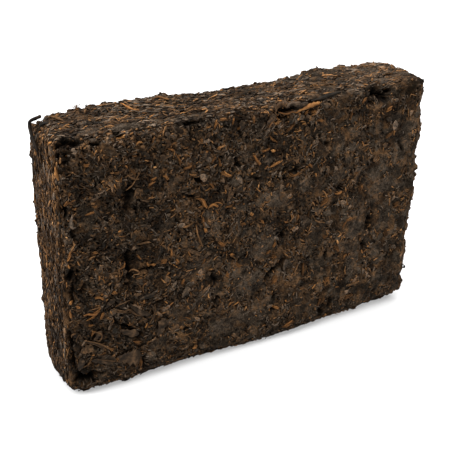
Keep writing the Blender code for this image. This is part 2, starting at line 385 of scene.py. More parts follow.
# Big leaves on the front, each in a bed of its own in the mass: where it lies, how long, its turn,
# how wide, how much it bends, how deeply it is cupped, how it is rolled and pitched, and its tone.
LEAVES = (
    (-44.5, 29.0, 9.5, -38, 2.2, 40, 0.55, 25, 0.8, 0.50),  # curled, its right end up
    (-51.5, 31.0, 6.0, -30, 0.9, 45, 0.0, 0, 0.1, 0.62),
    (-39.5, 27.0, 6.5, -85, 0.9, -75, 0.0, 0, 0.2, 0.60),
    (-48.5, 21.5, 8.5, -30, 2.6, 20, 0.25, -10, 0.2, 0.52),
    (-60.5, 20.5, 8.0, -33, 0.9, -20, 0.0, 0, 0.2, 0.58),
    (-63.5, 19.5, 4.5, 13, 3.0, 0, -0.2, 15, 0.2, 0.66),  # a smooth grey oval
    (-59.5, 23.5, 4.5, 50, 1.8, 30, 0.9, -20, 0.1, 0.55),  # rolled
    (-49.0, 12.0, 9.5, -18, 5.4, 10, -0.12, 0, 0.2, 0.53),  # broad, flat and whole
    (-58.0, 13.5, 9.0, -14, 2.6, 15, -0.15, 0, 0.1, 0.50),
    (-66.0, 14.0, 6.0, 80, 2.2, 10, 0.3, 10, 0.1, 0.48),
    (-36.5, 19.5, 7.5, 72, 2.8, -10, -0.15, 10, 0.1, 0.55),
    (-42.0, 33.5, 6.5, 10, 1.6, -25, 0.5, 20, 0.1, 0.42),
    (-55.0, 34.5, 5.0, 35, 1.8, 20, 0.3, -15, 0.1, 0.50),
    (-24.5, 46.0, 6.0, -36, 1.5, 15, -0.2, 0, 0.1, 0.66),
    (-20.0, 43.5, 5.0, 30, 1.4, 20, 0.0, 0, 0.1, 0.52),
    (-27.5, 31.0, 4.5, 55, 2.4, 0, -0.1, 0, 0.1, 0.72),
    (-44.5, 72.0, 3.2, 60, 1.6, 0, -0.1, 10, 0.1, 0.62),
    (-11.5, 63.5, 4.0, 66, 1.7, 0, -0.1, 0, 0.1, 0.66),
    (12.0, 31.5, 5.0, 85, 1.8, 10, -0.1, 0, 0.1, 0.70),
    (3.0, 88.0, 4.5, 45, 2.2, 0, -0.1, 0, 0.1, 0.60),
    (-7.5, 87.5, 4.0, 80, 1.8, 0, -0.2, 0, 0.1, 0.48),
)
BED = (0.3, 0.5)  # how far a bed reaches past its leaf, and how deep it is, in mm


def unit(vectors):
    """The same directions at length 1."""
    return vectors / np.linalg.norm(vectors, axis=-1, keepdims=True)


def on_block(points):
    """The nearest points of the even block and the outward direction there: a point is clipped to
    the inner box, which is the block less ROUND on every side, and is set off from it by ROUND."""
    inside = np.clip(points, low + ROUND, high - ROUND)
    outward = unit(points - inside)
    return inside + outward * ROUND, outward


def on_side(side, first, second):
    """Points on one flat side of the block's box, from their places on it in mm."""
    axis, end = SIDES[side]
    points = np.insert(np.stack((first, second), axis=-1) * MM, axis, 0.0, axis=-1)
    points[..., axis] = (low, high)[end][axis]
    return points


def pressed_height(points, outward):
    """How far the pressed surface stands out from each point of the even block: the nearest point
    of the CAD surface is found for all at once, and the way to it is measured along outward."""
    cloud = bpy.data.meshes.new("cloud")
    cloud.vertices.add(points.size // 3)
    cloud.vertices.foreach_set("co", points.ravel())
    probe = bpy.data.objects.new("probe", cloud)
    bpy.context.scene.collection.objects.link(probe)
    wrap = probe.modifiers.new("wrap", "SHRINKWRAP")
    wrap.wrap_method = "NEAREST_SURFACEPOINT"
    wrap.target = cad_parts["tea_brick"]
    found = np.empty(points.size, np.float32)
    graph = bpy.context.evaluated_depsgraph_get()
    probe.evaluated_get(graph).data.vertices.foreach_get("co", found)
    bpy.data.objects.remove(probe, do_unlink=True)
    bpy.data.meshes.remove(cloud)
    return ((found.reshape(points.shape) - points) * outward).sum(axis=-1)


chance_values = np.random.default_rng(7).uniform(-1, 1, 8192)
HASH = (7351, 1933, 6151)  # weights of a cube's three numbers in its place among the chance values


def lumps(points, size):
    """Smooth noise from -1 to 1: chance values at the corners of cubes of this size, blended across
    each cube by the curve 3t^2 - 2t^3 of the place t along each of its sides."""
    corner = np.floor(points / size).astype(np.int64)
    part = points / size - corner
    part = part * part * (3 - 2 * part)
    height = np.zeros(points.shape[:-1])
    for step in np.ndindex(2, 2, 2):
        share = np.prod(np.where(step, part, 1 - part), axis=-1)
        height += share * chance_values[(corner + step) @ HASH % chance_values.size]
    return height


def listed(table):
    """Each row of a table, with its side before it."""
    return [(side, *row) for side, part in table.items() for row in part]


def beds():
    """A pit for each big leaf, along its middle line."""
    reach, deep = BED
    for x, z, long, turn, wide, *_ in LEAVES:
        way = np.array((np.cos(np.radians(turn)), np.sin(np.radians(turn))))
        half = max(long - wide, 0.2) / 2 * way
        yield "front", (x, z) - half, (x, z) + half, wide / 2 + reach, deep


def heaps():
    """The single heaps, and one for each row of the outline."""
    yield from listed(HEAPS)
    for side, *ends, wide, rise in listed(OUTLINE):
        along_x = side in ("top", "base")
        places = [(end, LINES[side]) if along_x else (LINES[side], end) for end in ends]
        yield side, *places, wide, rise


HOLLOWS = (*listed(PITS), *beds())
RAISED = tuple(heaps())
SHADED = listed(SHADES)
FRAYED = 0.6  # how much noise widens and deepens a hollow, or narrows it


def reached(points, places, frayed):
    """How much of these places there is at each point. Across one, r from its middle line, it
    follows exp(-(r / width)^4), so that its sides are steep, and where two meet the stronger one
    counts. Where frayed is over 1, it is wider and stronger."""
    most = np.zeros(points.shape[:-1])
    for side, *ends, wide, deep in places:
        start, end = (on_block(on_side(side, *place))[0] for place in ends)
        way = end - start
        share = np.clip((points - start) @ way / (way @ way), 0.0, 1.0)
        off = ((points - start - share[..., None] * way) ** 2).sum(axis=-1)
        off /= (wide * MM * frayed) ** 2
        here = deep * MM * np.exp(-off * off)
        most = np.where(np.abs(here) > np.abs(most), here, most)
    return most * frayed


def fallen_away(points):
    """How deep the pits and beds are at each point. Noise frays them by up to FRAYED."""
    return reached(points, HOLLOWS, 1 + FRAYED * lumps(points, 1.3 * MM))


def shade(points):
    """The change of tone at each point, partly lighter and darker leaf and partly painted shade,
    and how brown the leaf is there, from about -1 to 1. It is less brown on the top, over the last
    4 % of the height."""
    # the darker rows of SHADED are painted shade
    change = reached(points, SHADED, 1 + 0.5 * lumps(points, 2.6 * MM)) / MM
    top = np.clip(points[..., 2] / high[2] * 25 - 24, 0.0, 1.0)
    return change, lumps(points, 3.1 * MM) + 0.6 * lumps(points, 7 * MM) - 0.3 * top


DIP_SIZE = np.array((4.2, 1.5, 4.2)) * MM  # the dips follow the layers, which lie along the big sides
DIP_DEPTH = 0.8 * MM


def dips(points):
    """How deep the dips between packed lumps of leaf are at each point."""
    return DIP_DEPTH * np.clip(lumps(points, DIP_SIZE) - 0.12, 0.0, 1.0)


def packed_height(points, outward, sunk=1.0):
    """The pressed surface with its heaps, less its dips and pits, which count for as much as sunk
    says."""
    raised = reached(points, RAISED, 1 + 0.3 * lumps(points, 1.3 * MM))
    return pressed_height(points, outward) + raised - sunk * (fallen_away(points) + dips(points))


def turned(heading, outward, angle):
    """The headings turned about outward by their angles."""
    angle = angle[..., None]
    return heading * np.cos(angle) + np.cross(outward, heading) * np.sin(angle)


def headings(outward, luck, spread):
    """Directions flat on the block. The layers lie along the big sides: there a scrap points any
    way, and on the narrow sides it follows the layers to within the spread, in degrees. luck is a
    chance value from -1 to 1 for each."""
    facing = np.abs(outward[..., 1:2])
    along = unit(np.where(facing > 0.98, (1.0, 0.0, 0.0), np.cross(outward, (0.0, 1.0, 0.0))))
    free = np.clip((facing[..., 0] - 0.62) / 0.25, 0.0, 1.0)
    return turned(along, outward, luck * (np.radians(spread) * (1 - free) + np.pi * free))


def press_in(points, relief, looks, centre, outward, along, half, rise, look):
    """Adds scraps to a relief and its looks: over the oval |a|^2.5 + b^2 < 1, with a along a scrap
    and b across it in its half sizes, it stands at rise[0] + rise[1] times the square root of what
    is left to 1. It shows where it is the highest so far."""
    offset = points - centre
    a = (offset * along).sum(axis=-1) / half[0]
    b = (offset * np.cross(outward, along)).sum(axis=-1) / half[1]
    c = (offset * outward).sum(axis=-1) / (2.5 * MM)
    inside = 1 - np.abs(a) ** 2.5 - b * b - c**4
    height = rise[0] + rise[1] * np.sqrt(np.maximum(inside, 0.0))
    over = (inside > 0) & (height > relief)
    relief[over] = height[over]
    looks[over] = look[over]


def everywhere(centre):
    """A scrap in each cube."""
    return 1.0


def where_smooth(centre):
    """The share of cubes with a broad piece: few at the top left of the front, and more towards its
    right end and its base."""
    x, z = centre[:, 0] / high[0], centre[:, 2] / high[2]
    return np.clip(0.24 + 0.36 * x - 0.24 * (z - 0.5), 0.04, 0.75)


def scraps(points, size, lengths, widths, rises, thick, share, seed):
    """Relief and looks of chance scraps: a share of the cubes of this size near the block hold one
    each, moved onto the block. The looks are two chance values from 0 to 1. Where none lies the
    relief is -1."""
    relief = np.full(len(points), -1.0)
    looks = np.zeros((len(points), 2))
    home = np.floor(points / size).astype(np.int64)
    for step in np.ndindex(3, 3, 3):
        cube = home + step - 1
        first = cube @ HASH + seed
        luck = np.stack([chance_values[(first + 977 * n) % chance_values.size] for n in range(9)], -1)
        centre, outward = on_block((cube + 0.5 + 0.45 * luck[:, :3]) * size)
        along = headings(outward, luck[:, 3], spread=28)
        part = 0.5 + 0.5 * luck[:, 4:]
        half = [span[0] + (span[1] - span[0]) * part[:, n] for n, span in enumerate((lengths, widths))]
        half[0] = np.where(part[:, 4] < share(centre), half[0], 1e-6)
        rise = rises[0] + (rises[1] - rises[0]) * part[:, 2], thick
        press_in(points, relief, looks, centre, outward, along, half, rise, part[:, (3, 0)])
    return relief, looks


def smoothed(points):
    """Relief and looks of the broad flat pieces, those that are named and the chance ones."""
    sizes = np.array(((1.7, 3.6), (0.7, 1.7), (-0.34, -0.02))) * MM
    relief, looks = scraps(points, 4.3 * MM, *sizes, 0.12 * MM, where_smooth, seed=500)
    for number, (side, first, second, long, wide, turn, tone) in enumerate(listed(SMOOTHED)):
        centre, outward = on_block(on_side(side, first, second))
        along = turned(np.array((1.0, 0.0, 0.0)), outward, np.radians(turn))
        wavy = 1 + 0.22 * lumps(points + number, 3.5 * MM)
        half = long / 2 * MM * wavy, wide / 2 * MM * wavy
        rise = (-0.28 + 0.05 * (number % 4)) * MM, 0.22 * MM
        look = np.broadcast_to((tone, 0.3), (len(points), 2))
        press_in(points, relief, looks, centre, outward, along, half, rise, look)
    return relief, looks


def mass_relief(points):
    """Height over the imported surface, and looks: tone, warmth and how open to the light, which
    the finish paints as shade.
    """
    small = np.array(((0.5, 1.15), (0.20, 0.44), (-0.75, -0.25))) * MM
    relief, looks = scraps(points, 1.15 * MM, *small, 0.30 * MM, everywhere, seed=0)
    relief = np.maximum(relief, -0.95 * MM)
    broad, broad_looks = smoothed(points)
    flat = broad > -0.5 * MM
    share = flat[:, None] * 0.6
    looks = looks * (1 - share) + broad_looks * share
    relief = np.where(flat, broad + 0.28 * (relief + 0.25 * MM), relief)
    # how open to the light: low where the relief is deep, and painted as shade by the finish
    return relief, np.column_stack((looks, np.clip((relief / MM + 0.78) / 0.65, 0.0, 1.0)))


def block_squares():
    """Points of the block's box, squares between them, and each square's side, from 0 to 5. Each
    side is a flat grid, and the grids share their points at the edges."""
    points, squares, made = [], [], 0
    steps = np.round((high - low) / PITCH).astype(int)
    lines = [np.linspace(low[axis], high[axis], steps[axis] + 1) for axis in range(3)]
    for axis in range(3):
        across, along = (axis + 1) % 3, (axis + 2) % 3
        for end in (low[axis], high[axis]):
            grid = np.empty((len(lines[across]), len(lines[along]), 3))
            grid[..., across] = lines[across][:, None]
            grid[..., along] = lines[along]
            grid[..., axis] = end
            number = made + np.arange(grid.size // 3).reshape(grid.shape[:2])
            corners = (number[:-1, :-1], number[1:, :-1], number[1:, 1:], number[:-1, 1:])
            square = np.stack(corners, axis=-1).reshape(-1, 4)
            squares.append(square if end == high[axis] else square[:, ::-1])
            points.append(grid.reshape(-1, 3))
            made += grid.size // 3
    sides = np.repeat(np.arange(6), [len(square) for square in squares])
    points, numbers = np.unique(np.concatenate(points), axis=0, return_inverse=True)
    return points, numbers.ravel()[np.concatenate(squares)], sides, lines[1]


def smooth_piece(name, points, corners, per_face):
    """A smooth-shaded object from arrays: its points, the corners of all its faces in one row, and
    how many corners each face has."""
    mesh = bpy.data.meshes.new(name)
    mesh.vertices.add(len(points))
    mesh.vertices.foreach_set("co", points.ravel())
    mesh.loops.add(len(corners))
    mesh.loops.foreach_set("vertex_index", corners)
    mesh.polygons.add(len(per_face))
    mesh.polygons.foreach_set("loop_start", np.cumsum(per_face) - per_face)
    mesh.update(calc_edges=True)
    mesh.shade_smooth()
    piece = bpy.data.objects.new(name, mesh)
    bpy.context.scene.collection.objects.link(piece)
    return piece


def lay_map(piece, places):
    """Gives the piece the map that it is baked through, from a place for each of its corners."""
    leaf_map = piece.data.uv_layers.new(name="OFBake")
    leaf_map.uv.foreach_set("vector", places.astype(np.float32).ravel())


def mass_map(places, sides, nearest, furthest):
    """Each corner's place on a layer's map: a big side lies at its bottom, and the strips of the
    narrow sides lie above that, one over the other. All are at one scale, which fits the brick's
    length into the map's."""
    reach = high - low
    wide = furthest - nearest
    big = reach[2] if np.isin(sides, (2, 3)).any() else 0.0
    strip = big + MM + (wide + MM) * (sides - 2 * (sides > 3))
    flat = places - np.array((low[0], nearest, low[2]))
    across = np.where(sides < 2, flat[:, 2], flat[:, 0])
    up = np.where((sides == 2) | (sides == 3), flat[:, 2], strip + flat[:, 1])
    return np.column_stack((across, up)) / (reach[0] + 2 * MM) + 0.002


def make_layers():
    """The relief of the whole block, cut across Y into three layers: squares between two cuts, and
    a flat face at each cut, whose corners go once round the block."""
    box_points, squares, sides, lines = block_squares()
    even, outward = on_block(box_points)
    relief, looks = mass_relief(even)
    height = packed_height(even, outward) + relief
    change, brownness = shade(even)
    looks[:, 0] += change
    looks[:, 1] += 0.45 * outward[:, 0] ** 2 + 0.12 * brownness  # the ends are browner
    # painted shade: the openness to the light falls in the pits, the leaves' beds and the dips
    looks[:, 2] *= np.exp(-(fallen_away(even) + dips(even)) / (0.8 * MM))
    points = even + outward * height[:, None]
    points[:, 2] = np.maximum(points[:, 2], 0.0)
    inner = (lines > low[1] + ROUND) & (lines < high[1] - ROUND)
    first, last = lines[inner][0], lines[inner][-1]
    spans = {"front": (-np.inf, first), "middle": (first, last), "back": (last, np.inf)}
    return [
        make_layer(f"{name}_layer", points, looks, box_points, squares, sides, span)
        for name, span in spans.items()
    ]


def make_layer(name, points, looks, box_points, squares, sides, span):
    """One layer of the mass."""
    middle = box_points[squares][..., 1].mean(axis=1)
    kept = (middle > span[0]) & (middle < span[1])
    numbers, corners = np.unique(squares[kept], return_inverse=True)
    corners = corners.ravel()
    per_face = np.full(kept.sum(), 4)
    inside = box_points[numbers]
    turn = np.arctan2(inside[:, 2] - (low + high)[2] / 2, inside[:, 0])
    nearest, furthest = np.clip(span, low[1], high[1])
    places = mass_map(inside[corners], np.repeat(sides[kept], 4), nearest, furthest)
    caps = 0
    for cut, order in zip(span, (1, -1)):
        if np.isfinite(cut):
            edge = np.flatnonzero(inside[:, 1] == cut)
            edge = edge[np.argsort(turn[edge])][::order]
            ring = np.column_stack((np.cos(turn[edge]), np.sin(turn[edge])))
            places = np.concatenate((places, 0.985 + 0.01 * ring))
            corners = np.append(corners, edge)
            per_face = np.append(per_face, len(edge))
            caps += 1
    layer = smooth_piece(name, points[numbers], corners, per_face)
    for number in range(caps):
        layer.data.polygons[-1 - number].use_smooth = False
    lay_map(layer, places)
    scrap = layer.data.attributes.new("scrap", "FLOAT_COLOR", "POINT")
    colours = np.column_stack((looks[numbers], np.ones(len(numbers))))
    scrap.data.foreach_set("color", colours.astype(np.float32).ravel())
    return layer


class Value:
    """A shader socket in arithmetic: an operator on it adds the Math node that does the sum."""

    def __init__(self, finish, socket):
        self.finish = finish
        self.socket = socket

    def output(self, name):
        """Another output of the same node."""
        return Value(self.finish, self.socket.node.outputs[name])

    def __add__(self, other):
        return self.finish.maths("ADD", self, other)

    def __sub__(self, other):
        return self.finish.maths("SUBTRACT", self, other)

    def __rsub__(self, other):
        return self.finish.maths("SUBTRACT", other, self)

    def __mul__(self, other):
        return self.finish.maths("MULTIPLY", self, other)

    __radd__ = __add__
    __rmul__ = __mul__


class Finish:
    """A material in the making, with one Principled surface."""

    def __init__(self, name, specular):
        self.material = bpy.data.materials.new(name)
        self.material.use_nodes = True
        self.tree = self.material.node_tree
        self.surface = self.tree.nodes["Principled BSDF"]
        self.surface.inputs["Specular IOR Level"].default_value = specular

    def node(self, kind, settings, sockets, output=0):
        """Adds a node of this type. Its settings are set first, a ramp's stops as (place, colour),
        and then the values or links of its sockets, by name or number."""
        node = self.tree.nodes.new("ShaderNode" + kind)
        for key, value in settings.items():
            if key == "stops":
                while len(node.color_ramp.elements) < len(value):
                    node.color_ramp.elements.new(1.0)
                for element, (place, colour) in zip(node.color_ramp.elements, value):
                    element.position = place
                    element.color = (*colour, 1.0)
            else:
                setattr(node, key, value)
        for key, value in sockets.items():
            if isinstance(value, Value):
                self.tree.links.new(value.socket, node.inputs[key])
            else:
                node.inputs[key].default_value = value
        return Value(self, node.outputs[output])

    def maths(self, operation, *numbers):
        """A Math node on these numbers and values, in this order."""
        return self.node("Math", {"operation": operation}, dict(enumerate(numbers)))

    def ramp(self, stops, tone):
        """The colour that the stops have at this tone."""
        return self.node("ValToRGB", {"stops": stops}, {"Fac": tone})

    def mix(self, share, first, second):
        """From the first colour to the second, as share goes from 0 to 1."""
        return self.node("Mix", {"data_type": "RGBA"}, {0: share, 6: first, 7: second}, output=2)

    def dim(self, colour, shade):
        """The colour times a number."""
        grey = self.node("CombineColor", {}, {0: shade, 1: shade, 2: shade})
        settings = {"data_type": "RGBA", "blend_type": "MULTIPLY"}
        return self.node("Mix", settings, {0: 1.0, 6: colour, 7: grey}, output=2)

    def between(self, value, low, high, to_low, to_high):
        """The value carried from the range low to high to another range, and held inside it."""
        names = ("From Min", "From Max", "To Min", "To Max")
        sockets = dict(zip(names, (low, high, to_low, to_high)))
        return self.node("MapRange", {}, {"Value": value, **sockets})

    def apply(self, piece, colour, roughness, height, deep):
        """Puts colour, roughness and relief, a height from 0 to 1 times deep, on the piece. The
        first piece's serve for all."""
        if not self.surface.inputs["Base Color"].links:
            bump = self.node("Bump", {}, {"Height": height, "Distance": deep, "Strength": 1.0})
            for name, value in (("Base Color", colour), ("Roughness", roughness), ("Normal", bump)):
                self.tree.links.new(value.socket, self.surface.inputs[name])
        piece.data.materials.append(self.material)


# Colours of dry leaf, black and brown, from the darkest tone to the lightest. The black's lighter
# tones are greyer: partly the leaf's colour, partly a painted sheen.
BLACK = (
    (0.0, (0.0033, 0.0023, 0.0010)),
    (0.35, (0.0136, 0.0107, 0.0076)),
    (0.75, (0.0530, 0.0438, 0.0335)),
    (1.0, (0.110, 0.089, 0.069)),
)
BROWN = (
    (0.0, (0.0088, 0.0041, 0.0012)),
    (0.35, (0.038, 0.0185, 0.0070)),
    (0.75, (0.110, 0.053, 0.0188)),
    (1.0, (0.235, 0.106, 0.033)),
)


def mass_finish():
    """Each scrap has its tone, and is black or brown by its warmth. Grain finer than the relief
    breaks both up, and what is shut off from the light is darker: painted shade."""
    finish = Finish("pressed_mass", specular=0.03)
    place = finish.node("TexCoord", {}, {}, output="Object")
    scrap = finish.node("Attribute", {"attribute_name": "scrap"}, {})
    look = finish.node("SeparateColor", {}, {0: scrap})
    grain = finish.node("TexNoise", {}, {"Vector": place, "Scale": 2600.0, "Detail": 3.0})
    patch = finish.node("TexNoise", {}, {"Vector": place, "Scale": 420.0, "Detail": 4.0})
    tone = look * 0.6 + finish.between(grain, 0.3, 0.7, -0.15, 0.3) + (patch * 0.7 - 0.34)
    warm = finish.between(look.output("Green") + patch * 1.8 - 0.9, 0.35, 0.95, 0.12, 0.72)
    colour = finish.mix(warm, finish.ramp(BLACK, tone), finish.ramp(BROWN, tone))
    # painted shade: darker where the scrap attribute says it is shut off from the light
    colour = finish.dim(colour, finish.between(look.output("Blue"), 0.0, 1.0, 0.08, 1.0))
    return finish, colour, finish.between(grain, 0.3, 0.7, 0.85, 0.6), grain


mass, *looks = mass_finish()
layers = make_layers()
for layer in layers:
    mass.apply(layer, *looks, deep=0.12 * MM)
    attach(layer, "root")
    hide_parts("tea_brick")

# ---------------------------------------------------------------------------------------------
# Leaf crumbs: the broken ends and edges of leaf that fill the gaps between the larger pieces. Each
# is a tiny three-sided grain, pressed in flat.

SKINS = 64  # strips across the leaf's own map, one tone each, from dark to light
BARE = 0.9 * MM  # no fragment lies in a pit deeper than this


def scatter(count, chance, shares=(1.0, 1.0, 1.0), covered=0.32, brownness=0.0):
    """Places all over the block's box, and the directions that their sides face: on each side,
    steps of two irrational numbers, which keep them apart, shifted by chance. shares changes how
    thickly the two ends, the two big sides, and the top and underside are covered, and covered is
    the part that stays on the smooth flat pieces, a smaller part towards the right end. With
    brownness 1, most lie where the leaf is brown, and with -1 where it is black. None lies in a
    pit."""
    size = high - low
    places, facing = [], []
    weight = [shares[axis] * size[axis - 1] * size[axis - 2] for axis in range(3)]
    for axis in range(3):
        number = int(count * weight[axis] / sum(weight) / 2)
        sides = [(axis + 1) % 3, (axis + 2) % 3]
        spacing = np.sqrt(size[sides].prod() / max(number, 1))
        for end in (0, 1):
            step = np.arange(number)[:, None] * (0.7548777, 0.5698403) + chance.random(2)
            side = np.empty((number, 3))
            side[:, sides] = low[sides] + step % 1.0 * size[sides]
            side += chance.uniform(-0.5, 0.5, (number, 3)) * spacing
            side = np.clip(side, low, high)
            side[:, axis] = (low, high)[end][axis]
            places.append(side)
            facing.append(np.tile(np.eye(3)[axis] * (2 * end - 1), (number, 1)))
    places, facing = np.concatenate(places), np.concatenate(facing)
    spots = on_block(places)[0]
    covered = covered * (1 - 0.75 * np.clip(places[:, 0] / high[0], 0.0, 1.0))
    kept = (smoothed(spots)[0] < -0.5 * MM) | (chance.random(len(places)) < covered)
    kept &= chance.random(len(places)) < 0.65 + 0.45 * brownness * shade(spots)[1]
    kept &= fallen_away(spots) < BARE
    return places[kept], facing[kept]


def lay_lines(places, facing, heading, length, bend):
    """Lines on the block, as points and outward directions. Each is a flat curve of equal steps on
    one side of the block's box, which turns by its bends and is centred on its place. A place is
    kept so far from the side's edges that its line stays on the side, and the curve is then moved
    onto the block."""
    room = np.minimum(length[:, None] / 2 * np.abs(heading), (high - low) / 2)
    places = np.where(facing == 0, np.clip(places, low + room, high - room), places)
    way = np.cumsum(bend, axis=1)
    way -= way.mean(axis=1, keepdims=True)
    step = length[:, None] / bend.shape[1]
    ahead, aside = (np.cumsum(step * part, axis=1) for part in (np.cos(way), np.sin(way)))
    ahead, aside = (np.pad(part, ((0, 0), (1, 0))) for part in (ahead, aside))
    ahead, aside = (part - part.mean(axis=1, keepdims=True) for part in (ahead, aside))
    flat = heading[:, None] * ahead[..., None] + np.cross(facing, heading)[:, None] * aside[..., None]
    return on_block(places[:, None] + flat)


def tube_faces(number, rings, sides):
    """Corners of the faces of tubes whose points are numbered ring by ring, tube by tube, with the
    two end points of all the tubes after them: squares between rings and triangles at the ends."""
    first = np.arange(number)[:, None, None] * rings * sides
    ring = np.arange(rings - 1)[:, None] * sides
    side, after = np.arange(sides), (np.arange(sides) + 1) % sides
    here, there = first + ring, first + ring + sides
    squares = np.stack((here + side, there + side, there + after, here + after), axis=-1)
    ends = number * rings * sides + np.arange(number)[:, None] * 2
    start, stop = first[:, 0], first[:, 0] + (rings - 1) * sides
    heads = np.stack(np.broadcast_arrays(ends, start + side, start + after), axis=-1)
    tails = np.stack(np.broadcast_arrays(ends + 1, stop + after, stop + side), axis=-1)
    corners = np.concatenate((squares.ravel(), heads.ravel(), tails.ravel()))
    per_face = np.repeat((4, 3), (squares.size // 4, (heads.size + tails.size) // 3))
    return corners, per_face


def tubes(name, ring, ends, u, across, tone):
    """One object of many closed tubes, from each one's rings and its two end points. Its map has
    the place u along the tube by the strip of its tone, with the place across from -1 to 1."""
    number, rings, sides = ring.shape[:3]
    vertices = np.concatenate((ring.reshape(-1, 3), ends.reshape(-1, 3)))
    vertices[:, 2] = np.maximum(vertices[:, 2], 0.0)
    corners, per_face = tube_faces(number, rings, sides)
    piece = smooth_piece(name, vertices, corners, per_face)
    skin = np.clip(np.floor(tone * SKINS), 0, SKINS - 1)[:, None, None] + 0.5
    ring_u = np.broadcast_to(u[1:-1, None], (number, rings, sides))
    ring_v = np.broadcast_to(skin + 0.42 * across, (number, rings, sides))
    flat_u = np.append(ring_u.ravel(), np.tile((0.01, 0.99), number))
    flat_v = np.append(ring_v.ravel(), np.repeat(skin.ravel(), 2)) / SKINS
    lay_map(piece, np.stack((flat_u, flat_v), axis=-1)[corners])
    return piece


IN_MM = ("length", "width", "thick", "depth", "pitch", "lid")
IN_DEGREES = ("bend", "snake", "sway", "roll", "twist")


def leaf_bits(name, laid, section, rings, chance, blunt=3.0, sunk=1.0, **sizes):
    """One object of many leaf fragments. Each is its section carried along its line: width and
    thickness swell from its ends by the curve (1 - |2u - 1|^blunt)^0.6 of the place u along it, the
    section is rolled and twisted round the line and cupped across it, and most of what would stand
    above the lid is pressed down to it. laid has the places, the facing and the headings. Sizes are
    arrays with one value a fragment: length, width, thick, depth, pitch and lid in mm, bend, snake,
    sway, roll and twist in degrees, and taper, cup, ragged and tone in parts of 1."""
    number = len(laid[0])
    scale = {**dict.fromkeys(IN_MM, MM), **dict.fromkeys(IN_DEGREES, np.pi / 180)}
    size = {key: np.asarray(value)[:, None] * scale.get(key, 1.0) for key, value in sizes.items()}
    count = rings + 2
    u = np.linspace(0.0, 1.0, count)
    bend = size["bend"] + size["sway"] * chance.uniform(-1, 1, (number, count - 1))
    bend = (bend + size["snake"] * 2 * np.pi * np.cos(2 * np.pi * u[1:])) / (count - 1)
    points, outward = lay_lines(*laid, size["length"][:, 0], bend)
    pressed = packed_height(points, outward, sunk)
    height = pressed + size["depth"] + size["pitch"] * (u - 0.5)
    line = points + outward * height[..., None]
    tangent = unit(np.gradient(line, axis=1))
    side = unit(np.cross(tangent, outward))
    up = np.cross(side, tangent)
    roll = (size["roll"] + size["twist"] * (u - 0.5))[..., None]
    side, up = side * np.cos(roll) + up * np.sin(roll), up * np.cos(roll) - side * np.sin(roll)
    swell = (1 - np.abs(2 * u[1:-1] - 1) ** blunt) ** 0.6 * (1 + size["taper"] * (2 * u[1:-1] - 1))
    half = size["width"] / 2 * swell * (1 + size["ragged"] * chance.uniform(-1, 1, (number, rings)))
    thick = size["thick"] / 2 * swell
    across, above = np.array(section).T
    reach = half[..., None] * across
    rise = thick[..., None] * above + half[..., None] * size["cup"][..., None] * (0.5 - across**2)
    ring = line[:, 1:-1, None] + side[:, 1:-1, None] * reach[..., None]
    ring = ring + up[:, 1:-1, None] * rise[..., None]
    way = outward[:, 1:-1, None]
    surface = (points + outward * pressed[..., None])[:, 1:-1, None]
    proud = ((ring - surface) * way).sum(axis=-1) - size["lid"][..., None]
    ring = ring - way * (np.maximum(proud, 0.0) * 0.85)[..., None]
    return tubes(name, ring, line[:, (0, -1)], u, across, sizes["tone"])


def chosen(chance, number, **ranges):
    """Sizes for leaf_bits: for each name chance values over its range, from least to most. A third
    number over 1 makes the small values the common ones."""
    common = {"snake": (0.0, 0.0), "taper": (-0.5, 0.5), "cup": (0.0, 0.0)}
    return {
        name: span[0] + (span[1] - span[0]) * chance.random(number) ** (span[2] if span[2:] else 1.0)
        for name, span in {**common, **ranges}.items()
    }


def tones(places, chance, middle, spread, depth):
    """Tones from 0 to 1: chance round a middle, with the patches of darker and lighter leaf that run
    through the brick, and towards the right end lighter and more even. Painted shade makes them
    darker the deeper a fragment lies, in the dips, and at the darker rows of SHADED."""
    right = places[:, 0] / high[0]
    spread = spread * (1 - 0.35 * np.clip(right, 0.0, 1.0))
    tone = middle + 0.14 * right + spread * chance.normal(size=len(places))
    tone += 0.18 * lumps(places, 11 * MM) + 0.20 * lumps(places, 4.5 * MM) + shade(places)[0]
    # painted shade: darker the deeper a fragment lies and in the dips
    return np.clip(tone + 0.9 * depth - 0.9 * dips(places) / MM + 0.29, 0.0, 1.0)


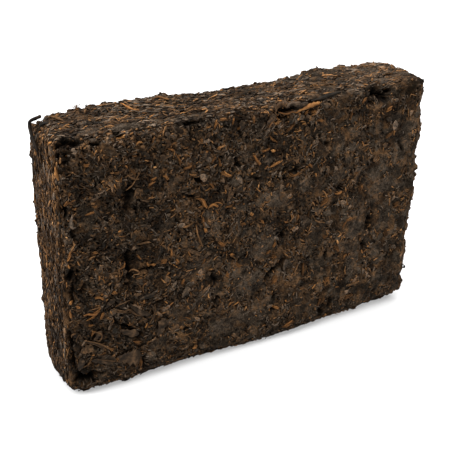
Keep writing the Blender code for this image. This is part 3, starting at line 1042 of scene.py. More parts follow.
def leaf_finish(name, stops, other, lean, specular, curve=-3.8):
    """Dry leaf. The map's strips go from the ramp's first colour to its last, and each strip leans
    towards the other ramp by chance. Painted light and shade make a strip lighter along its
    middle, or along its rims where curve is over 0. It is blotched along its length, ribbed by fine
    fibres, and rougher where it is lighter."""
    finish = Finish(name, specular)
    place = finish.node("SeparateXYZ", {}, {0: finish.node("UVMap", {"uv_map": "OFBake"}, {})})
    along, row = place, place.output("Y") * SKINS
    skin = finish.maths("FLOOR", row)
    across = row - skin
    luck = finish.node("TexWhiteNoise", {"noise_dimensions": "1D"}, {"W": skin + 0.5})
    spot = finish.node("CombineXYZ", {}, {0: along * 5.0, 1: across * 2.0, 2: skin * 3.7})
    thread = finish.node("CombineXYZ", {}, {0: along * 3.0, 1: across * 9.0, 2: skin * 5.1})
    blotches = finish.node("TexNoise", {}, {"Vector": spot, "Scale": 1.0, "Detail": 3.0})
    fibres = finish.node("TexNoise", {}, {"Vector": thread, "Scale": 1.0, "Detail": 2.0})
    offset = across - 0.5
    # painted light and shade across the strip: a lit middle and shaded sides, or, where curve is over 0,
    # lit rims
    painted_ridge_shade = 1.0 + offset * offset * curve
    tone = skin * (1.0 / SKINS) + finish.between(blotches, 0.3, 0.7, -0.32, 0.26)
    share = luck * lean + finish.between(blotches, 0.45, 0.7, 0.0, 0.4 * lean)
    colour = finish.mix(share, finish.ramp(stops, tone), finish.ramp(other, tone))
    colour = finish.dim(colour, painted_ridge_shade * finish.between(fibres, 0.3, 0.7, 0.5, 1.3))
    roughness = finish.between(fibres + blotches, 0.7, 1.3, 0.5, 0.8)
    return finish, colour, roughness, fibres * 0.6 + painted_ridge_shade * 0.4


def pack_in(piece, look):
    """Gives a piece its finish and its place in the brick."""
    finish, *looks = look
    finish.apply(piece, *looks, deep=0.05 * MM)
    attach(piece, "root")


black = leaf_finish("black_leaf", BLACK, BROWN, lean=0.3, specular=0.07)
brown = leaf_finish("brown_leaf", BROWN, BLACK, lean=0.3, specular=0.05)
opened = leaf_finish("open_leaf", BLACK, BROWN, lean=0.6, specular=0.07, curve=1.2)
GRAIN = ((1.0, -0.4), (0.0, 1.0), (-1.0, -0.4))  # a three-sided section


def crumbs(name, count, seed, brownness):
    """Crumbs all over the block."""
    chance = np.random.default_rng(seed)
    places, facing = scatter(count, chance, brownness=brownness)
    sizes = chosen(
        chance,
        len(places),
        length=(0.5, 1.6),
        width=(0.25, 0.75, 1.4),
        thick=(0.3, 0.6),
        bend=(-45, 45),
        sway=(0, 45),
        roll=(-50, 50),
        twist=(-60, 60),
        depth=(-0.40, 0.05),
        pitch=(-0.5, 0.5),
        ragged=(0.0, 0.4),
        lid=(0.0, 0.22),
    )
    sizes["tone"] = tones(places, chance, 0.44, 0.31, sizes["depth"])
    laid = places, facing, headings(facing, chance.uniform(-1, 1, len(places)), spread=35)
    return leaf_bits(name, laid, GRAIN, 2, chance, **sizes)


pack_in(crumbs("black_crumbs", 19000, seed=10, brownness=-1), black)
pack_in(crumbs("brown_crumbs", 13000, seed=17, brownness=1), brown)

# ---------------------------------------------------------------------------------------------
# Fine shreds, black and brown: leaf broken small and rolled thin, pressed flat against its
# neighbours. Each is a short bent line with a flattened section round it.

ROUND_BIT = ((1.0, 0.0), (0.0, 1.0), (-1.0, 0.0), (0.0, -1.0))


def shreds(name, count, seed, brownness, shares):
    """Fine shreds all over the block."""
    chance = np.random.default_rng(seed)
    places, facing = scatter(count, chance, shares, brownness=brownness)
    sizes = chosen(
        chance,
        len(places),
        length=(0.8, 3.4, 1.5),
        width=(0.25, 0.80, 1.6),
        thick=(0.22, 0.50),
        bend=(-90, 90),
        sway=(0, 130),
        roll=(-45, 45),
        twist=(-90, 90),
        depth=(-0.32, 0.06),
        pitch=(-0.5, 0.5),
        cup=(-0.3, 0.3),
        ragged=(0.1, 0.5),
        lid=(0.0, 0.25),
    )
    sizes["tone"] = tones(places, chance, 0.45, 0.31, sizes["depth"])
    laid = places, facing, headings(facing, chance.uniform(-1, 1, len(places)), spread=30)
    return leaf_bits(name, laid, ROUND_BIT, 3, chance, **sizes)


piece = shreds("black_shreds", 15000, seed=11, brownness=-1, shares=(0.5, 1.0, 0.9))
pack_in(piece, black)
piece = shreds("brown_shreds", 13000, seed=12, brownness=1, shares=(1.8, 1.0, 1.0))
pack_in(piece, brown)

# ---------------------------------------------------------------------------------------------
# Strands: leaf rolled into twists. The narrow sides show the brick's layers edge on, so these lie
# there side by side along the layers, and only a few cross the big sides.


def strands(name, count, seed, brownness, shares, length=(1.4, 5.4, 1.5), spread=32):
    """Twisted strands, most of them on the narrow sides."""
    chance = np.random.default_rng(seed)
    places, facing = scatter(count, chance, shares, brownness=brownness)
    sizes = chosen(
        chance,
        len(places),
        length=length,
        width=(0.35, 1.30, 1.5),
        thick=(0.3, 0.7),
        bend=(-35, 35),
        sway=(10, 100),
        roll=(-50, 50),
        twist=(-160, 160),
        depth=(-0.40, 0.20, 1.3),
        pitch=(-0.9, 0.9),
        cup=(-0.2, 0.4),
        ragged=(0.1, 0.45),
        lid=(0.0, 1.1, 2.4),
    )
    sizes["tone"] = tones(places, chance, 0.38, 0.31, sizes["depth"])
    laid = places, facing, headings(facing, chance.uniform(-1, 1, len(places)), spread)
    return leaf_bits(name, laid, ROUND_BIT, 5, chance, blunt=2.4, **sizes)


piece = strands("brown_strands", 5200, seed=13, brownness=1, shares=(5.0, 0.28, 2.8))
pack_in(piece, brown)
piece = strands("black_strands", 4000, seed=16, brownness=-1, shares=(1.4, 0.28, 3.6))
pack_in(piece, black)

# Long ones lie closer along the layers, most of them on the two ends.
longer = {"brownness": 0, "shares": (7.0, 0.0, 1.0), "length": (4.0, 10.0, 1.4), "spread": 12}
pack_in(strands("long_brown_strands", 260, seed=19, **longer), brown)
pack_in(strands("long_black_strands", 420, seed=23, **longer), black)

# ---------------------------------------------------------------------------------------------
# Loose ends: broken tips that stand up out of the narrow sides and make the outline ragged.


def loose_ends(name, count, seed):
    """Short tips, most of them on the narrow sides, pitched steeply."""
    chance = np.random.default_rng(seed)
    places, facing = scatter(count, chance, shares=(1.6, 0.12, 2.2))
    sizes = chosen(
        chance,
        len(places),
        length=(1.0, 2.8),
        width=(0.5, 1.2, 1.5),
        thick=(0.3, 0.6),
        bend=(-40, 40),
        sway=(0, 60),
        roll=(-70, 70),
        twist=(-60, 60),
        depth=(-0.1, 0.35),
        pitch=(-1.1, 1.1),
        cup=(-0.2, 0.3),
        ragged=(0.1, 0.5),
        lid=(0.2, 1.1),
    )
    sizes["tone"] = tones(places, chance, 0.28, 0.22, sizes["depth"])
    laid = places, facing, headings(facing, chance.uniform(-1, 1, len(places)), spread=60)
    return leaf_bits(name, laid, ROUND_BIT, 3, chance, **sizes)


pack_in(loose_ends("loose_ends", 2000, seed=18), brown)

# ---------------------------------------------------------------------------------------------
# Flat flakes: pieces of open leaf that the press has laid flat and smoothed.

FLAT_BIT = ((1.0, 0.0), (0.5, 1.0), (-0.5, 1.0), (-1.0, 0.0), (-0.5, -1.0), (0.5, -1.0))


def flakes(name, count, seed):
    """Flakes of open leaf, most of them on the big sides."""
    chance = np.random.default_rng(seed)
    places, facing = scatter(count, chance, shares=(0.6, 1.0, 1.3))
    sizes = chosen(
        chance,
        len(places),
        length=(1.4, 5.0, 1.6),
        width=(0.7, 2.4, 1.8),
        thick=(0.16, 0.30),
        bend=(-35, 35),
        sway=(0, 60),
        roll=(-16, 16),
        twist=(-30, 30),
        depth=(-0.30, 0.0),
        pitch=(-0.5, 0.5),
        cup=(-0.25, 0.25),
        ragged=(0.2, 0.6),
        lid=(0.0, 0.2),
    )
    sizes["tone"] = tones(places, chance, 0.36, 0.2, sizes["depth"])
    laid = places, facing, headings(facing, chance.uniform(-1, 1, len(places)), spread=25)
    return leaf_bits(name, laid, FLAT_BIT, 4, chance, blunt=5.0, **sizes)


pack_in(flakes("flat_flakes", 4000, seed=14), opened)

# ---------------------------------------------------------------------------------------------
# Golden buds and tips: the downy ends of shoots, which stay orange to gold as the leaf darkens.
# Small ones lie everywhere, more of them in some patches, and the big bright ones have a place each.

FIVE_SIDED = tuple((np.cos(turn), np.sin(turn)) for turn in np.arange(5) * 2 * np.pi / 5)
EIGHT_SIDED = tuple((np.cos(turn), np.sin(turn)) for turn in np.arange(8) * 2 * np.pi / 8)
GOLD = (
    (0.0, (0.070, 0.031, 0.0100)),
    (0.5, (0.205, 0.085, 0.0250)),
    (0.85, (0.39, 0.172, 0.050)),
    (1.0, (0.54, 0.31, 0.14)),
)

# The big ones on the front: where each lies, its length, its turn from the level, its width, how
# much it bends and snakes, and its tone, in mm, degrees and parts of 1.
BUDS = (
    (-48.6, 91.3, 2.6, 6, 1.0, 10, 0, 0.80),
    (-69.5, 44.9, 2.0, -75, 0.8, 0, 0, 0.66),
    (-60.5, 84.0, 2.2, 6, 0.7, 20, 0, 0.35),
    (-60.0, 68.0, 3.7, 20, 0.8, 20, 0, 0.45),
    (-58.0, 70.0, 1.6, 25, 0.7, 0, 0, 0.50),
    (-66.0, 76.0, 2.2, 70, 0.8, 0, 0, 0.40),
    (-38.5, 75.5, 2.4, 30, 0.7, 20, 0, 0.55),
    (-39.5, 74.0, 2.6, 20, 0.7, -20, 0, 0.60),
    (-34.5, 75.0, 2.8, -45, 0.8, -50, 0, 0.62),
    (-67.4, 72.8, 2.8, 43, 0.8, 0, 0, 0.30),
    (-30.0, 80.2, 4.1, -68, 0.8, 20, 0, 0.28),
    (-27.5, 77.0, 3.0, 0, 0.7, 15, 0, 0.40),
    (-32.5, 84.0, 2.9, -30, 0.7, 0, 0, 0.25),
    (-12.5, 71.5, 4.7, -38, 1.1, 35, 0, 0.66),
    (-15.5, 76.5, 3.6, -75, 0.7, 10, 0, 0.40),
    (-17.5, 78.0, 3.4, 60, 0.8, 0, 0, 0.28),
    (-21.5, 63.5, 6.2, -52, 1.1, 0, 24, 0.62),
    (-16.8, 61.4, 5.4, 0, 0.7, -130, 0, 0.72),
    (-11.7, 59.8, 4.2, 28, 0.8, 0, 16, 0.50),
    (-18.0, 68.5, 3.6, -60, 0.8, -30, 0, 0.40),
    (-21.5, 57.3, 5.0, -82, 0.7, 0, 8, 0.45),
    (-20.5, 53.5, 2.0, -80, 1.1, 0, 0, 0.62),
    (5.6, 72.0, 5.0, 17, 0.8, 8, 0, 0.55),
    (4.2, 81.0, 3.9, -52, 0.8, 10, 0, 0.35),
    (10.7, 83.6, 3.6, 28, 0.9, 0, 14, 0.48),
    (-1.9, 74.5, 4.7, -63, 1.0, 15, 0, 0.30),
    (4.6, 76.6, 1.6, 0, 1.0, 0, 0, 0.82),
    (1.5, 77.5, 3.6, 4, 0.7, 0, 0, 0.40),
    (-8.0, 86.4, 1.8, 0, 0.9, 0, 0, 0.50),
    (-15.8, 81.4, 1.4, 0, 1.1, 0, 0, 0.60),
    (-22.3, 85.3, 1.5, -10, 1.0, 0, 0, 0.45),
    (-17.2, 89.6, 3.2, 62, 0.7, -30, 0, 0.62),  # the two arms of a bent tip
    (-14.4, 91.0, 2.4, -9, 0.8, 10, 0, 0.62),
    (-19.7, 89.3, 2.2, 0, 0.5, 110, 0, 0.62),
    (-3.5, 88.6, 2.8, 88, 0.6, 0, 0, 0.45),
    (-10.8, 89.8, 2.8, 86, 0.6, 0, 0, 0.35),
    (3.2, 87.0, 4.0, 42, 0.9, 0, 0, 0.50),
    (13.2, 66.5, 5.2, 0, 0.9, 120, 0, 0.48),
    (-2.9, 55.0, 1.3, 60, 1.3, 0, 0, 0.80),
    (-6.0, 52.0, 1.8, 0, 1.0, 0, 0, 0.40),
    (-67.7, 54.8, 3.4, 52, 0.9, 60, 0, 0.55),
    (-58.8, 54.0, 1.8, 0, 1.0, 0, 0, 0.60),
    (-49.6, 47.0, 3.2, 38, 1.0, 40, 0, 0.40),
    (-41.2, 45.6, 2.0, -62, 0.8, 0, 0, 0.58),  # a bent tip again
    (-39.2, 44.8, 2.2, 14, 0.8, 0, 0, 0.66),
    (-32.8, 47.8, 3.2, -88, 0.8, 0, 10, 0.55),
    (-35.5, 45.4, 2.2, 20, 1.6, 0, 0, 0.45),
    (-31.0, 44.0, 2.2, -60, 1.2, 0, 0, 0.40),
    (-58.5, 38.0, 4.9, -20, 0.6, -70, 0, 0.62),
    (-60.0, 33.0, 3.8, 32, 1.1, 10, 0, 0.45),
    (-61.5, 31.5, 3.6, 20, 0.7, -10, 0, 0.55),
    (-57.8, 31.0, 3.2, 70, 0.9, 0, 0, 0.50),
    (-68.3, 38.2, 1.8, 60, 0.8, 0, 0, 0.66),
    (-65.8, 36.8, 1.3, 0, 1.0, 0, 0, 0.60),
    (-68.6, 34.4, 3.4, -80, 0.9, 10, 0, 0.58),
    (-62.0, 28.5, 2.1, -12, 0.6, 20, 0, 0.60),
    (-42.3, 22.0, 2.0, 61, 0.6, 0, 0, 0.70),
    (-55.5, 17.4, 3.1, -40, 0.8, 20, 0, 0.62),
    (-44.8, 7.5, 5.0, 72, 1.1, 10, 0, 0.30),
    (40.2, 88.5, 3.6, 24, 0.9, -45, 0, 0.52),
    (35.3, 84.0, 4.2, 86, 0.6, -15, 0, 0.42),
    (23.0, 84.3, 2.6, -34, 1.0, 0, 0, 0.52),
    (51.6, 83.8, 3.2, 30, 1.2, 0, 0, 0.62),
    (53.1, 73.8, 3.4, 50, 1.3, 0, 0, 0.35),
    (38.7, 43.8, 3.6, 20, 1.7, 0, 0, 0.66),
    (36.5, 42.0, 3.6, 55, 0.8, 0, 0, 0.38),
    (27.0, 53.3, 4.4, 35, 1.5, 15, 0, 0.42),
    (33.1, 55.6, 3.4, 0, 0.9, 90, 0, 0.55),
    (31.0, 20.4, 2.6, 30, 1.4, 0, 0, 0.50),
    (38.0, 28.5, 2.4, 85, 0.9, 0, 0, 0.50),
    (19.8, 27.6, 5.6, 84, 0.8, -20, 0, 0.16),
    (16.8, 88.2, 2.0, 40, 0.8, 0, 0, 0.55),
    (19.4, 88.2, 2.2, 20, 0.7, 0, 0, 0.50),
    (5.7, 88.4, 2.0, 70, 0.8, 0, 0, 0.55),
    (19.9, 68.5, 2.4, -40, 0.8, 0, 0, 0.45),
    (11.1, 63.0, 1.8, 60, 0.8, 0, 0, 0.40),
    (15.7, 49.6, 2.4, 70, 1.0, 0, 0, 0.40),
    (1.4, 51.4, 2.2, -30, 0.9, 0, 0, 0.52),
    (7.0, 41.1, 2.4, 60, 1.0, 0, 0, 0.48),
    (7.3, 36.1, 2.0, 0, 1.6, 0, 0, 0.30),
    (4.8, 38.2, 1.8, 40, 0.9, 0, 0, 0.40),
    (42.6, 54.6, 3.0, 80, 1.6, 0, 0, 0.16),
    (28.9, 11.2, 3.6, 60, 2.0, 0, 0, 0.14),
    (42.3, 9.9, 4.2, 25, 1.6, 0, 0, 0.12),
    (56.6, 33.8, 4.0, -70, 1.8, 0, 0, 0.10),
    (60.0, 45.1, 3.0, 30, 1.6, 0, 0, 0.14),
    (28.1, 39.4, 2.8, -40, 1.4, 0, 0, 0.24),
    (33.7, 33.7, 4.0, -60, 1.2, 0, 0, 0.28),
    (-60.9, 25.1, 2.4, 62, 0.7, -60, 0, 0.50),
    (-53.4, 12.4, 1.6, 0, 1.4, 0, 0, 0.18),
    (-45.6, 16.5, 3.2, -25, 1.0, 20, 0, 0.14),
    (-44.1, 48.8, 2.6, -60, 0.7, 0, 0, 0.42),
    (-53.4, 38.5, 1.8, 10, 1.2, 0, 0, 0.45),
    (34.5, 32.4, 2.4, -60, 1.0, 0, 0, 0.50),
    (-14.5, 46.6, 3.0, -50, 1.1, 0, 0, 0.42),
    (-7.5, 36.6, 3.4, -42, 1.2, 60, 0, 0.48),
    (-11.8, 34.0, 1.8, -50, 1.2, 0, 0, 0.50),
    (-10.1, 41.2, 1.6, 20, 1.0, 0, 0, 0.60),
    (-28.5, 35.4, 2.2, 56, 0.9, 0, 0, 0.55),
    (7.6, 26.2, 3.8, 51, 2.2, 0, 0, 0.42),
    (8.2, 14.2, 5.2, 0, 0.9, -90, 0, 0.55),
    (14.2, 5.5, 5.0, 19, 1.0, 10, 0, 0.35),
    (-24.0, 7.8, 1.8, 0, 1.4, 0, 0, 0.62),
)


def golden_tips(name, count, seed):
    """Small tips all over the block, most of them where lumps of 9 mm are high."""
    chance = np.random.default_rng(seed)
    places, facing = scatter(count, chance, shares=(1.4, 1.0, 1.4), covered=0.7)
    kept = lumps(places, 9 * MM) + 0.6 * lumps(places, 3 * MM) > chance.uniform(-0.8, 0.7, len(places))
    places, facing = places[kept], facing[kept]
    sizes = chosen(
        chance,
        len(places),
        length=(0.9, 3.2, 1.6),
        width=(0.30, 0.90, 1.4),
        thick=(0.3, 0.5),
        bend=(-110, 110),
        sway=(0, 80),
        roll=(-35, 35),
        twist=(-60, 60),
        depth=(-0.22, 0.06),
        pitch=(-0.4, 0.4),
        cup=(-0.1, 0.3),
        ragged=(0.0, 0.4),
        lid=(0.0, 0.25),
    )
    sizes["tone"] = tones(places, chance, 0.16, 0.24, sizes["depth"])
    laid = places, facing, headings(facing, chance.uniform(-1, 1, len(places)), spread=30)
    return leaf_bits(name, laid, FIVE_SIDED, 4, chance, blunt=2.5, **sizes)


def on_front(rows, columns, **rest):
    """Places, facing and headings on the front, and sizes, of pieces that are listed one by one.
    The first columns are x, z and turn, and rest has the sizes that all of them share."""
    table = dict(zip(columns, np.array(rows, float).T))
    places = on_side("front", table.pop("x"), table.pop("z"))
    facing = np.tile((0.0, -1.0, 0.0), (len(places), 1))
    heading = turned(np.array((1.0, 0.0, 0.0)), facing, np.radians(table.pop("turn")))
    shared = {name: np.full(len(places), float(value)) for name, value in rest.items()}
    return (places, facing, heading), {**shared, **table}


def split(laid, sizes, chance):
    """Each fragment as three thinner ones side by side, each with its own length, turn and tone."""
    number = len(laid[0])
    places, facing, heading = (np.repeat(rows, 3, axis=0) for rows in laid)
    sizes = {name: np.repeat(values, 3) for name, values in sizes.items()}
    luck = chance.uniform(-1, 1, (4, 3 * number))
    aside = (np.tile((-0.26, 0.0, 0.26), number) + 0.08 * luck[0]) * sizes["width"]
    along = 0.16 * luck[1] * sizes["length"]
    places = places + np.cross(facing, heading) * aside[:, None] * MM + heading * along[:, None] * MM
    sizes["width"] *= 0.50
    sizes["length"] *= 0.84 + 0.2 * luck[2]
    sizes["tone"] = np.clip(sizes["tone"] + 0.16 * luck[3], 0.0, 1.0)
    return (places, facing, turned(heading, facing, np.radians(9) * luck[2])), sizes


BUDS_WIDER = 1.15  # the width that each has, over the one listed
BUDS_DARKER = 0.08  # how much darker each is than listed

golden = leaf_finish("golden_bud", GOLD, BROWN, lean=0.7, specular=0.05)
pack_in(golden_tips("golden_tips", 4400, seed=15), golden)
laid, sizes = on_front(
    BUDS,
    ("x", "z", "length", "turn", "width", "bend", "snake", "tone"),
    thick=0.55,
    depth=0.08,
    pitch=0.3,
    lid=0.45,
    sway=45,
    roll=0,
    twist=50,
    taper=0.25,
    cup=0.0,
    ragged=0.30,
)
sizes["width"] = sizes["width"] * BUDS_WIDER
sizes["tone"] = sizes["tone"] - BUDS_DARKER
chance = np.random.default_rng(20)
laid, sizes = split(laid, sizes, chance)
buds = leaf_bits("golden_buds", laid, EIGHT_SIDED, 9, chance, **sizes)
pack_in(buds, golden)

# ---------------------------------------------------------------------------------------------
# Big leaves at the front's lower left and along its top: whole leaves that the press has curled,
# rolled and flattened. Each lies in its bed, with a gap round it that is dark by its depth and by
# painted shade in the mass.

LEAVES_DARKER = 0.14  # how much darker each is than listed
LENS = tuple((np.cos(turn), np.sin(turn) * 0.8) for turn in np.arange(12) * 2 * np.pi / 12)

laid, sizes = on_front(
    LEAVES,
    ("x", "z", "length", "turn", "width", "bend", "cup", "roll", "pitch", "tone"),
    thick=0.28,
    depth=0.0,
    lid=0.9,
    snake=0,
    sway=60,
    twist=40,
    taper=0.3,
    ragged=0.30,
)
sizes["tone"] = sizes["tone"] - LEAVES_DARKER
leaves = leaf_bits("big_leaves", laid, LENS, 12, np.random.default_rng(21), sunk=0.15, **sizes)
pack_in(leaves, opened)

# ---------------------------------------------------------------------------------------------
# Stems and hairs: a golden stem under the front's top edge with a curled leaf at its thin end, a
# smooth grey twig over it, a stalk that stands off the back corner, and a wisp of fine hairs.

STEM_RINGS = 30


def smooth_route(stations, count):
    """A smooth curve through the stations, at even steps of their numbers: the Catmull-Rom cubic,
    whose direction at a station is half the way from the one before it to the one after."""
    stations = np.array(stations, float)
    before, after = 2 * stations[0] - stations[1], 2 * stations[-1] - stations[-2]
    padded = np.vstack((before, stations, after))
    t = np.linspace(0.0, len(stations) - 1, count)
    start = np.minimum(t.astype(int), len(stations) - 2)
    t = (t - start)[:, None]
    a, b, c, d = (padded[start + step] for step in range(4))
    bent = (2 * a - 5 * b + 4 * c - d) * t + (3 * b - a - 3 * c + d) * t * t
    return 0.5 * (2 * b + (c - a) * t + bent * t)


def stems(name, routes, flat=1.0, knotty=0.45, free=False):
    """One object of stems. Each goes through listed stations, with x, y, z and height over the
    pressed surface, its radius there, in mm, and the stem's tone. flat is its height by its width,
    and knotty is how uneven its radius is. Free stems keep their x, y and z, and the others lie on
    the surface."""
    path = np.array([smooth_route(stations, STEM_RINGS + 2) for stations, _ in routes])
    points, outward = on_block(path[..., :3] * MM)
    height = packed_height(points, outward, sunk=0.0) + path[..., 3] * MM
    line = path[..., :3] * MM if free else points + outward * height[..., None]
    tangent = unit(np.gradient(line, axis=1))
    side = unit(np.cross(tangent, outward))
    up = np.cross(side, tangent)
    radius = path[:, 1:-1, 4, None, None] * MM
    across, above = np.array(EIGHT_SIDED).T
    swell = side[:, 1:-1, None] * across[:, None] + up[:, 1:-1, None] * above[:, None] * flat
    knots = 1 + knotty * lumps(line[:, 1:-1, None] + swell * radius, 0.8 * MM)
    ring = line[:, 1:-1, None] + swell * radius * knots[..., None]
    tone = np.array([tone for _, tone in routes])
    return tubes(name, ring, line[:, (0, -1)], np.linspace(0.0, 1.0, STEM_RINGS + 2), across, tone)


def route(tone, lift, radius, *places):
    """A stem through these places, in x and z on the front or in x, y and z. Its height over the
    surface and its radius swell from its thin ends."""
    places = np.array(places, float)
    if places.shape[1] == 2:
        places = np.insert(places, 1, -14.0, axis=1)
    swell = 0.35 + 0.65 * np.sin(np.pi * np.linspace(0.0, 1.0, len(places)))
    return np.column_stack((places, lift * swell, radius * swell)), tone


# Each route has its tone, its height over the surface, its radius and its places.
GOLDEN_ROUTES = (
    (0.22, 0.35, 0.36, (5.5, 90.3), (7.4, 89.4), (9.3, 89.1), (10.7, 89.4), (12.6, 89.1), (15.2, 90.0),
     (17.0, 90.3)),
    (0.66, 0.5, 0.74, (12.6, 89.2), (16.0, 90.0), (18.5, 90.6), (20.4, 90.8), (22.0, 91.1)),
    (0.72, 0.3, 0.42, (-71, -11.4, 93.6), (-71, -10.6, 92.4), (-71, -9.8, 91.0)),
    (0.60, 0.3, 0.35, (-71, -12.6, 88.3), (-71, -12.9, 86.6)),
    (0.62, 0.4, 0.62, (-70.6, -12.9, 84.7), (-70.3, -13.2, 82.5), (-69.6, -13.6, 80.3)),
    (0.40, 0.3, 0.40, (-71, 4.1, 85.4), (-71, 2.3, 83.3)),
    (0.60, 0.8, 0.45, (-70.5, 10.5, 72.6), (-70.5, 10.5, 71.3)),
    (0.52, 0.3, 0.40, (-71, 3.9, 51.4), (-71, 1.2, 50.8), (-71, -1.9, 50.0)),
    (0.50, 0.3, 0.35, (-71, -12.3, 66.8), (-71, -12.9, 65.0)),
    (0.62, 0.3, 0.35, (-71, -10.7, 45.0), (-71, -13.0, 46.0)),
    (0.45, 0.3, 0.50, (-71, 0.2, 28.0), (-71, -0.5, 25.8)),
    (0.55, 0.3, 0.50, (-40.0, 7.7, 94), (-39.6, 4.1, 94), (-39.1, 1.4, 94), (-36.9, -0.2, 94)),
    (0.50, 0.3, 0.55, (-28.3, 8.1, 94), (-26.3, 7.2, 94), (-24.6, 4.9, 94)),
    (0.50, 0.3, 0.40, (-20.6, -7.4, 94), (-18.0, -7.6, 94)),
    (0.40, 0.3, 0.45, (-64.2, 33.2), (-62.4, 33.4), (-60.5, 32.5), (-58.9, 33.1)),
)
BROWN_ROUTES = (
    (0.50, 1.2, 0.80, (4.6, 90.2), (4.7, 91.6), (5.6, 92.7), (6.8, 93.0), (8.0, 92.4), (8.6, 91.2)),
    (0.75, 0.3, 0.40, (-24.0, 56.0), (-23.6, 53.0), (-22.6, 50.0), (-21.4, 47.0)),
    (0.66, 0.4, 0.30, (-47.6, 78.6), (-45.6, 77.0), (-43.6, 76.4)),
    (0.68, 0.4, 0.28, (-48.4, 73.6), (-46.0, 75.4), (-43.0, 79.0)),
    (0.55, 0.3, 0.65, (-63.6, 7.6, 94), (-62.5, 3.8, 94), (-61.4, 1.0, 94)),
    (0.50, 0.3, 0.60, (-35.6, 88.4), (-33.6, 86.6), (-34.6, 84.6)),
    (0.60, 0.4, 0.34, (-54.0, 32.4), (-53.0, 31.2), (-51.4, 30.5), (-49.7, 30.6), (-48.5, 30.8),
     (-47.3, 29.5), (-45.4, 27.6), (-43.0, 26.7), (-41.2, 27.3), (-40.3, 28.9)),  # a curled leaf's rim
    (0.60, 0.4, 0.30, (-39.4, 30.0), (-38.9, 28.3), (-39.5, 25.8), (-40.8, 23.6), (-42.0, 21.3)),
    (0.70, 0.3, 0.22, (-53.3, 32.9), (-51.9, 33.6), (-49.9, 33.7), (-47.9, 34.1)),
    (0.55, 0.3, 0.28, (-69.3, 25.0), (-68.9, 26.0), (-67.9, 26.8), (-67.0, 26.8)),
    (0.50, 0.3, 0.30, (-67.2, 23.2), (-66.8, 24.9), (-65.7, 26.1), (-65.2, 24.4)),
    (0.62, 0.3, 0.30, (-61.6, 24.7), (-60.9, 25.5), (-59.9, 25.3), (-58.6, 24.6), (-58.3, 23.0),
     (-59.4, 21.8), (-60.7, 23.0)),
    (0.66, 0.3, 0.34, (-64.3, 23.4), (-61.7, 22.2), (-58.5, 20.2), (-56.6, 18.3), (-54.3, 16.0)),
    (0.62, 0.3, 0.26, (-53.8, 45.2), (-53.1, 45.7), (-51.8, 45.4), (-50.9, 44.1)),
    (0.80, 0.3, 0.30, (-47.9, 44.3), (-46.6, 45.0), (-44.9, 44.2), (-44.4, 43.0), (-46.3, 42.8)),
    (0.80, 0.3, 0.26, (-62.3, 34.7), (-60.4, 34.8), (-58.1, 34.7)),
    (0.66, 0.3, 0.32, (-46.6, 6.4), (-45.9, 8.5), (-44.8, 10.1)),
    (0.60, 0.3, 0.26, (-60.4, 14.6), (-57.0, 13.4), (-52.7, 11.6)),
    (0.55, 0.3, 0.26, (-65.2, 12.7), (-63.5, 13.7), (-62.0, 15.5)),
)
DARK_ROUTES = (
    (0.14, 0.5, 0.72, (18.4, -13.9, 92.3), (22.5, -13.8, 92.8), (25.5, -13.6, 93.0), (27.8, -13.3, 93.3),
     (31.4, -12.9, 93.8)),  # the twig
    (0.48, 0.5, 0.95, (8.6, 91.1), (10.2, 92.3), (11.6, 92.4), (13.6, 91.6), (15.1, 91.4), (17.4, 91.8)),
    (0.05, 0.4, 0.80, (-70.4, 2.1, 94), (-68.6, 1.9, 94), (-66.4, 1.0, 94)),  # black, at the left end
    (0.15, 0.6, 0.60, (69.2, -11.4, 15.6), (70.6, -11.4, 14.4), (71.8, -11.6, 13.6)),  # over the notch
)
STALK_RADIUS = 0.54
STALK = (  # it stands off the back corner, and bends sharply
    (-70.8, -2.0, 85.4),
    (-71.0, 0.6, 88.0),
    (-71.1, 2.2, 89.7),
    (-71.1, 3.4, 91.2),
    (-71.0, 4.0, 92.4),
    (-70.8, 4.1, 93.2),
    (-70.1, 3.8, 93.9),
    (-68.8, 3.5, 94.4),
    (-67.3, 3.2, 95.0),
)


def wisp(chance):
    """Routes of fine hairs, which stand up from one spot at the top's back edge and lean apart."""
    for lean in chance.uniform(-1, 1, (12, 3)):
        root = np.array((-54.1, 9.5, 94.0, 0.0, 0.08)) + (0.9 * lean[0], 0, 0, 0, 0)
        middle = root + (0.4 * lean[1], 0.3, 0, 1.0, 0)
        tip = middle + (1.0 * lean[1] + 0.4 * lean[2], 0.3, 0, 0.6 + 0.4 * lean[0], -0.02)
        yield (root, middle, tip), 0.5


golden_routes, brown_routes, dark_routes = (
    [route(*row) for row in rows] for rows in (GOLDEN_ROUTES, BROWN_ROUTES, DARK_ROUTES)
)
stalk = np.column_stack((STALK, np.zeros(len(STALK)), np.full(len(STALK), STALK_RADIUS))), 0.10
pack_in(stems("golden_stems", golden_routes, flat=0.7), golden)
pack_in(stems("brown_stems", brown_routes, flat=0.5), brown)
pack_in(stems("dark_stems", dark_routes, flat=0.6), black)
pack_in(stems("stalk", (stalk,), knotty=0.2, free=True), black)
pack_in(stems("hairs", tuple(wisp(np.random.default_rng(22)))), golden)

# ---------------------------------------------------------------------------------------------
# The studio: a white floor, a broad soft light above, a smaller one to the left, and a weak one
# from the right.

bpy.ops.mesh.primitive_plane_add(size=8.0)
floor = bpy.context.object
floor.name = "floor"
paper = Finish("white_paper", specular=0.1)
paper.surface.inputs["Base Color"].default_value = (0.35, 0.35, 0.35, 1.0)
paper.surface.inputs["Emission Color"].default_value = (1.0, 1.0, 1.0, 1.0)
paper.surface.inputs["Emission Strength"].default_value = 0.36
paper.surface.inputs["Roughness"].default_value = 0.9
floor.data.materials.append(paper.material)


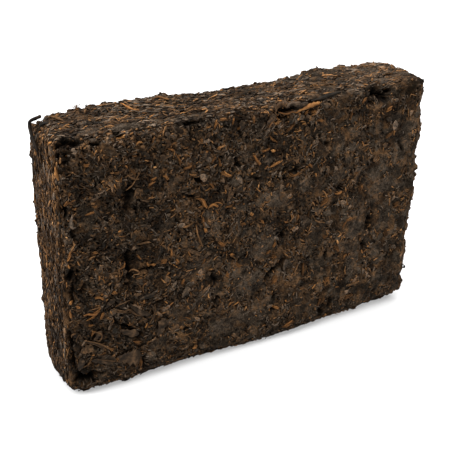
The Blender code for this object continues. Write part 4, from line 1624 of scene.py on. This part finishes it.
def soft_light(name, size, power, place, aim):
    """A square area light at a place, turned to its aim."""
    lamp = bpy.data.lights.new(name, "AREA")
    lamp.size = size
    lamp.energy = power
    light = bpy.data.objects.new(name, lamp)
    light.location = place
    light.rotation_euler = (Vector(aim) - Vector(place)).to_track_quat("-Z", "Y").to_euler()
    bpy.context.scene.collection.objects.link(light)


soft_light("overhead", 2.4, 115.0, (0.0, 0.0, 1.5), (0.0, 0.0, 0.0))
soft_light("left", 0.5, 9.5, (-0.7, 0.05, 0.55), (-0.07, 0.0, 0.05))
soft_light("right", 0.6, 1.5, (0.7, -0.8, 0.4), (0.03, 0.0, 0.05))

world = bpy.data.worlds.new("studio")
bpy.context.scene.world = world
world.use_nodes = True
world.node_tree.nodes["Background"].inputs["Color"].default_value = (1.0, 1.0, 1.0, 1.0)
world.node_tree.nodes["Background"].inputs["Strength"].default_value = 0.20
bpy.context.scene.view_settings.view_transform = "Standard"

# ---------------------------------------------------------------------------------------------
# The camera stands to the left of the brick's front and looks a little down on it.

AROUND, ABOVE, TILT = np.radians((-29.625, 27.325, 1.333))
FIELD_OF_VIEW = np.radians(28.647)  # from left to right
FILM = 36.0  # the camera's film is this wide, in mm
DISTANCE = 311.95 * MM
MIDDLE = np.array((0.0, 0.0, 46.5)) * MM  # the brick's
LEFT, DOWN = 4.736 * MM, 2.111 * MM  # how far the camera is aimed beside the middle

back = np.array((np.sin(AROUND) * np.cos(ABOVE), -np.cos(AROUND) * np.cos(ABOVE), np.sin(ABOVE)))
level = unit(np.cross(-back, (0.0, 0.0, 1.0)))
upward = np.cross(level, -back)
right = np.cos(TILT) * level + np.sin(TILT) * upward
upward = np.cos(TILT) * upward - np.sin(TILT) * level
aim = MIDDLE - LEFT * right - DOWN * upward
lens = bpy.data.cameras.new("camera")
lens.sensor_width = FILM
lens.lens = FILM / 2 / np.tan(FIELD_OF_VIEW / 2)
lens.clip_start = 0.01
camera = bpy.data.objects.new("camera", lens)
axes = np.column_stack((right, upward, back, aim + back * DISTANCE))
camera.matrix_world = Matrix([*axes.tolist(), (0.0, 0.0, 0.0, 1.0)])
bpy.context.scene.collection.objects.link(camera)
bpy.context.scene.camera = camera
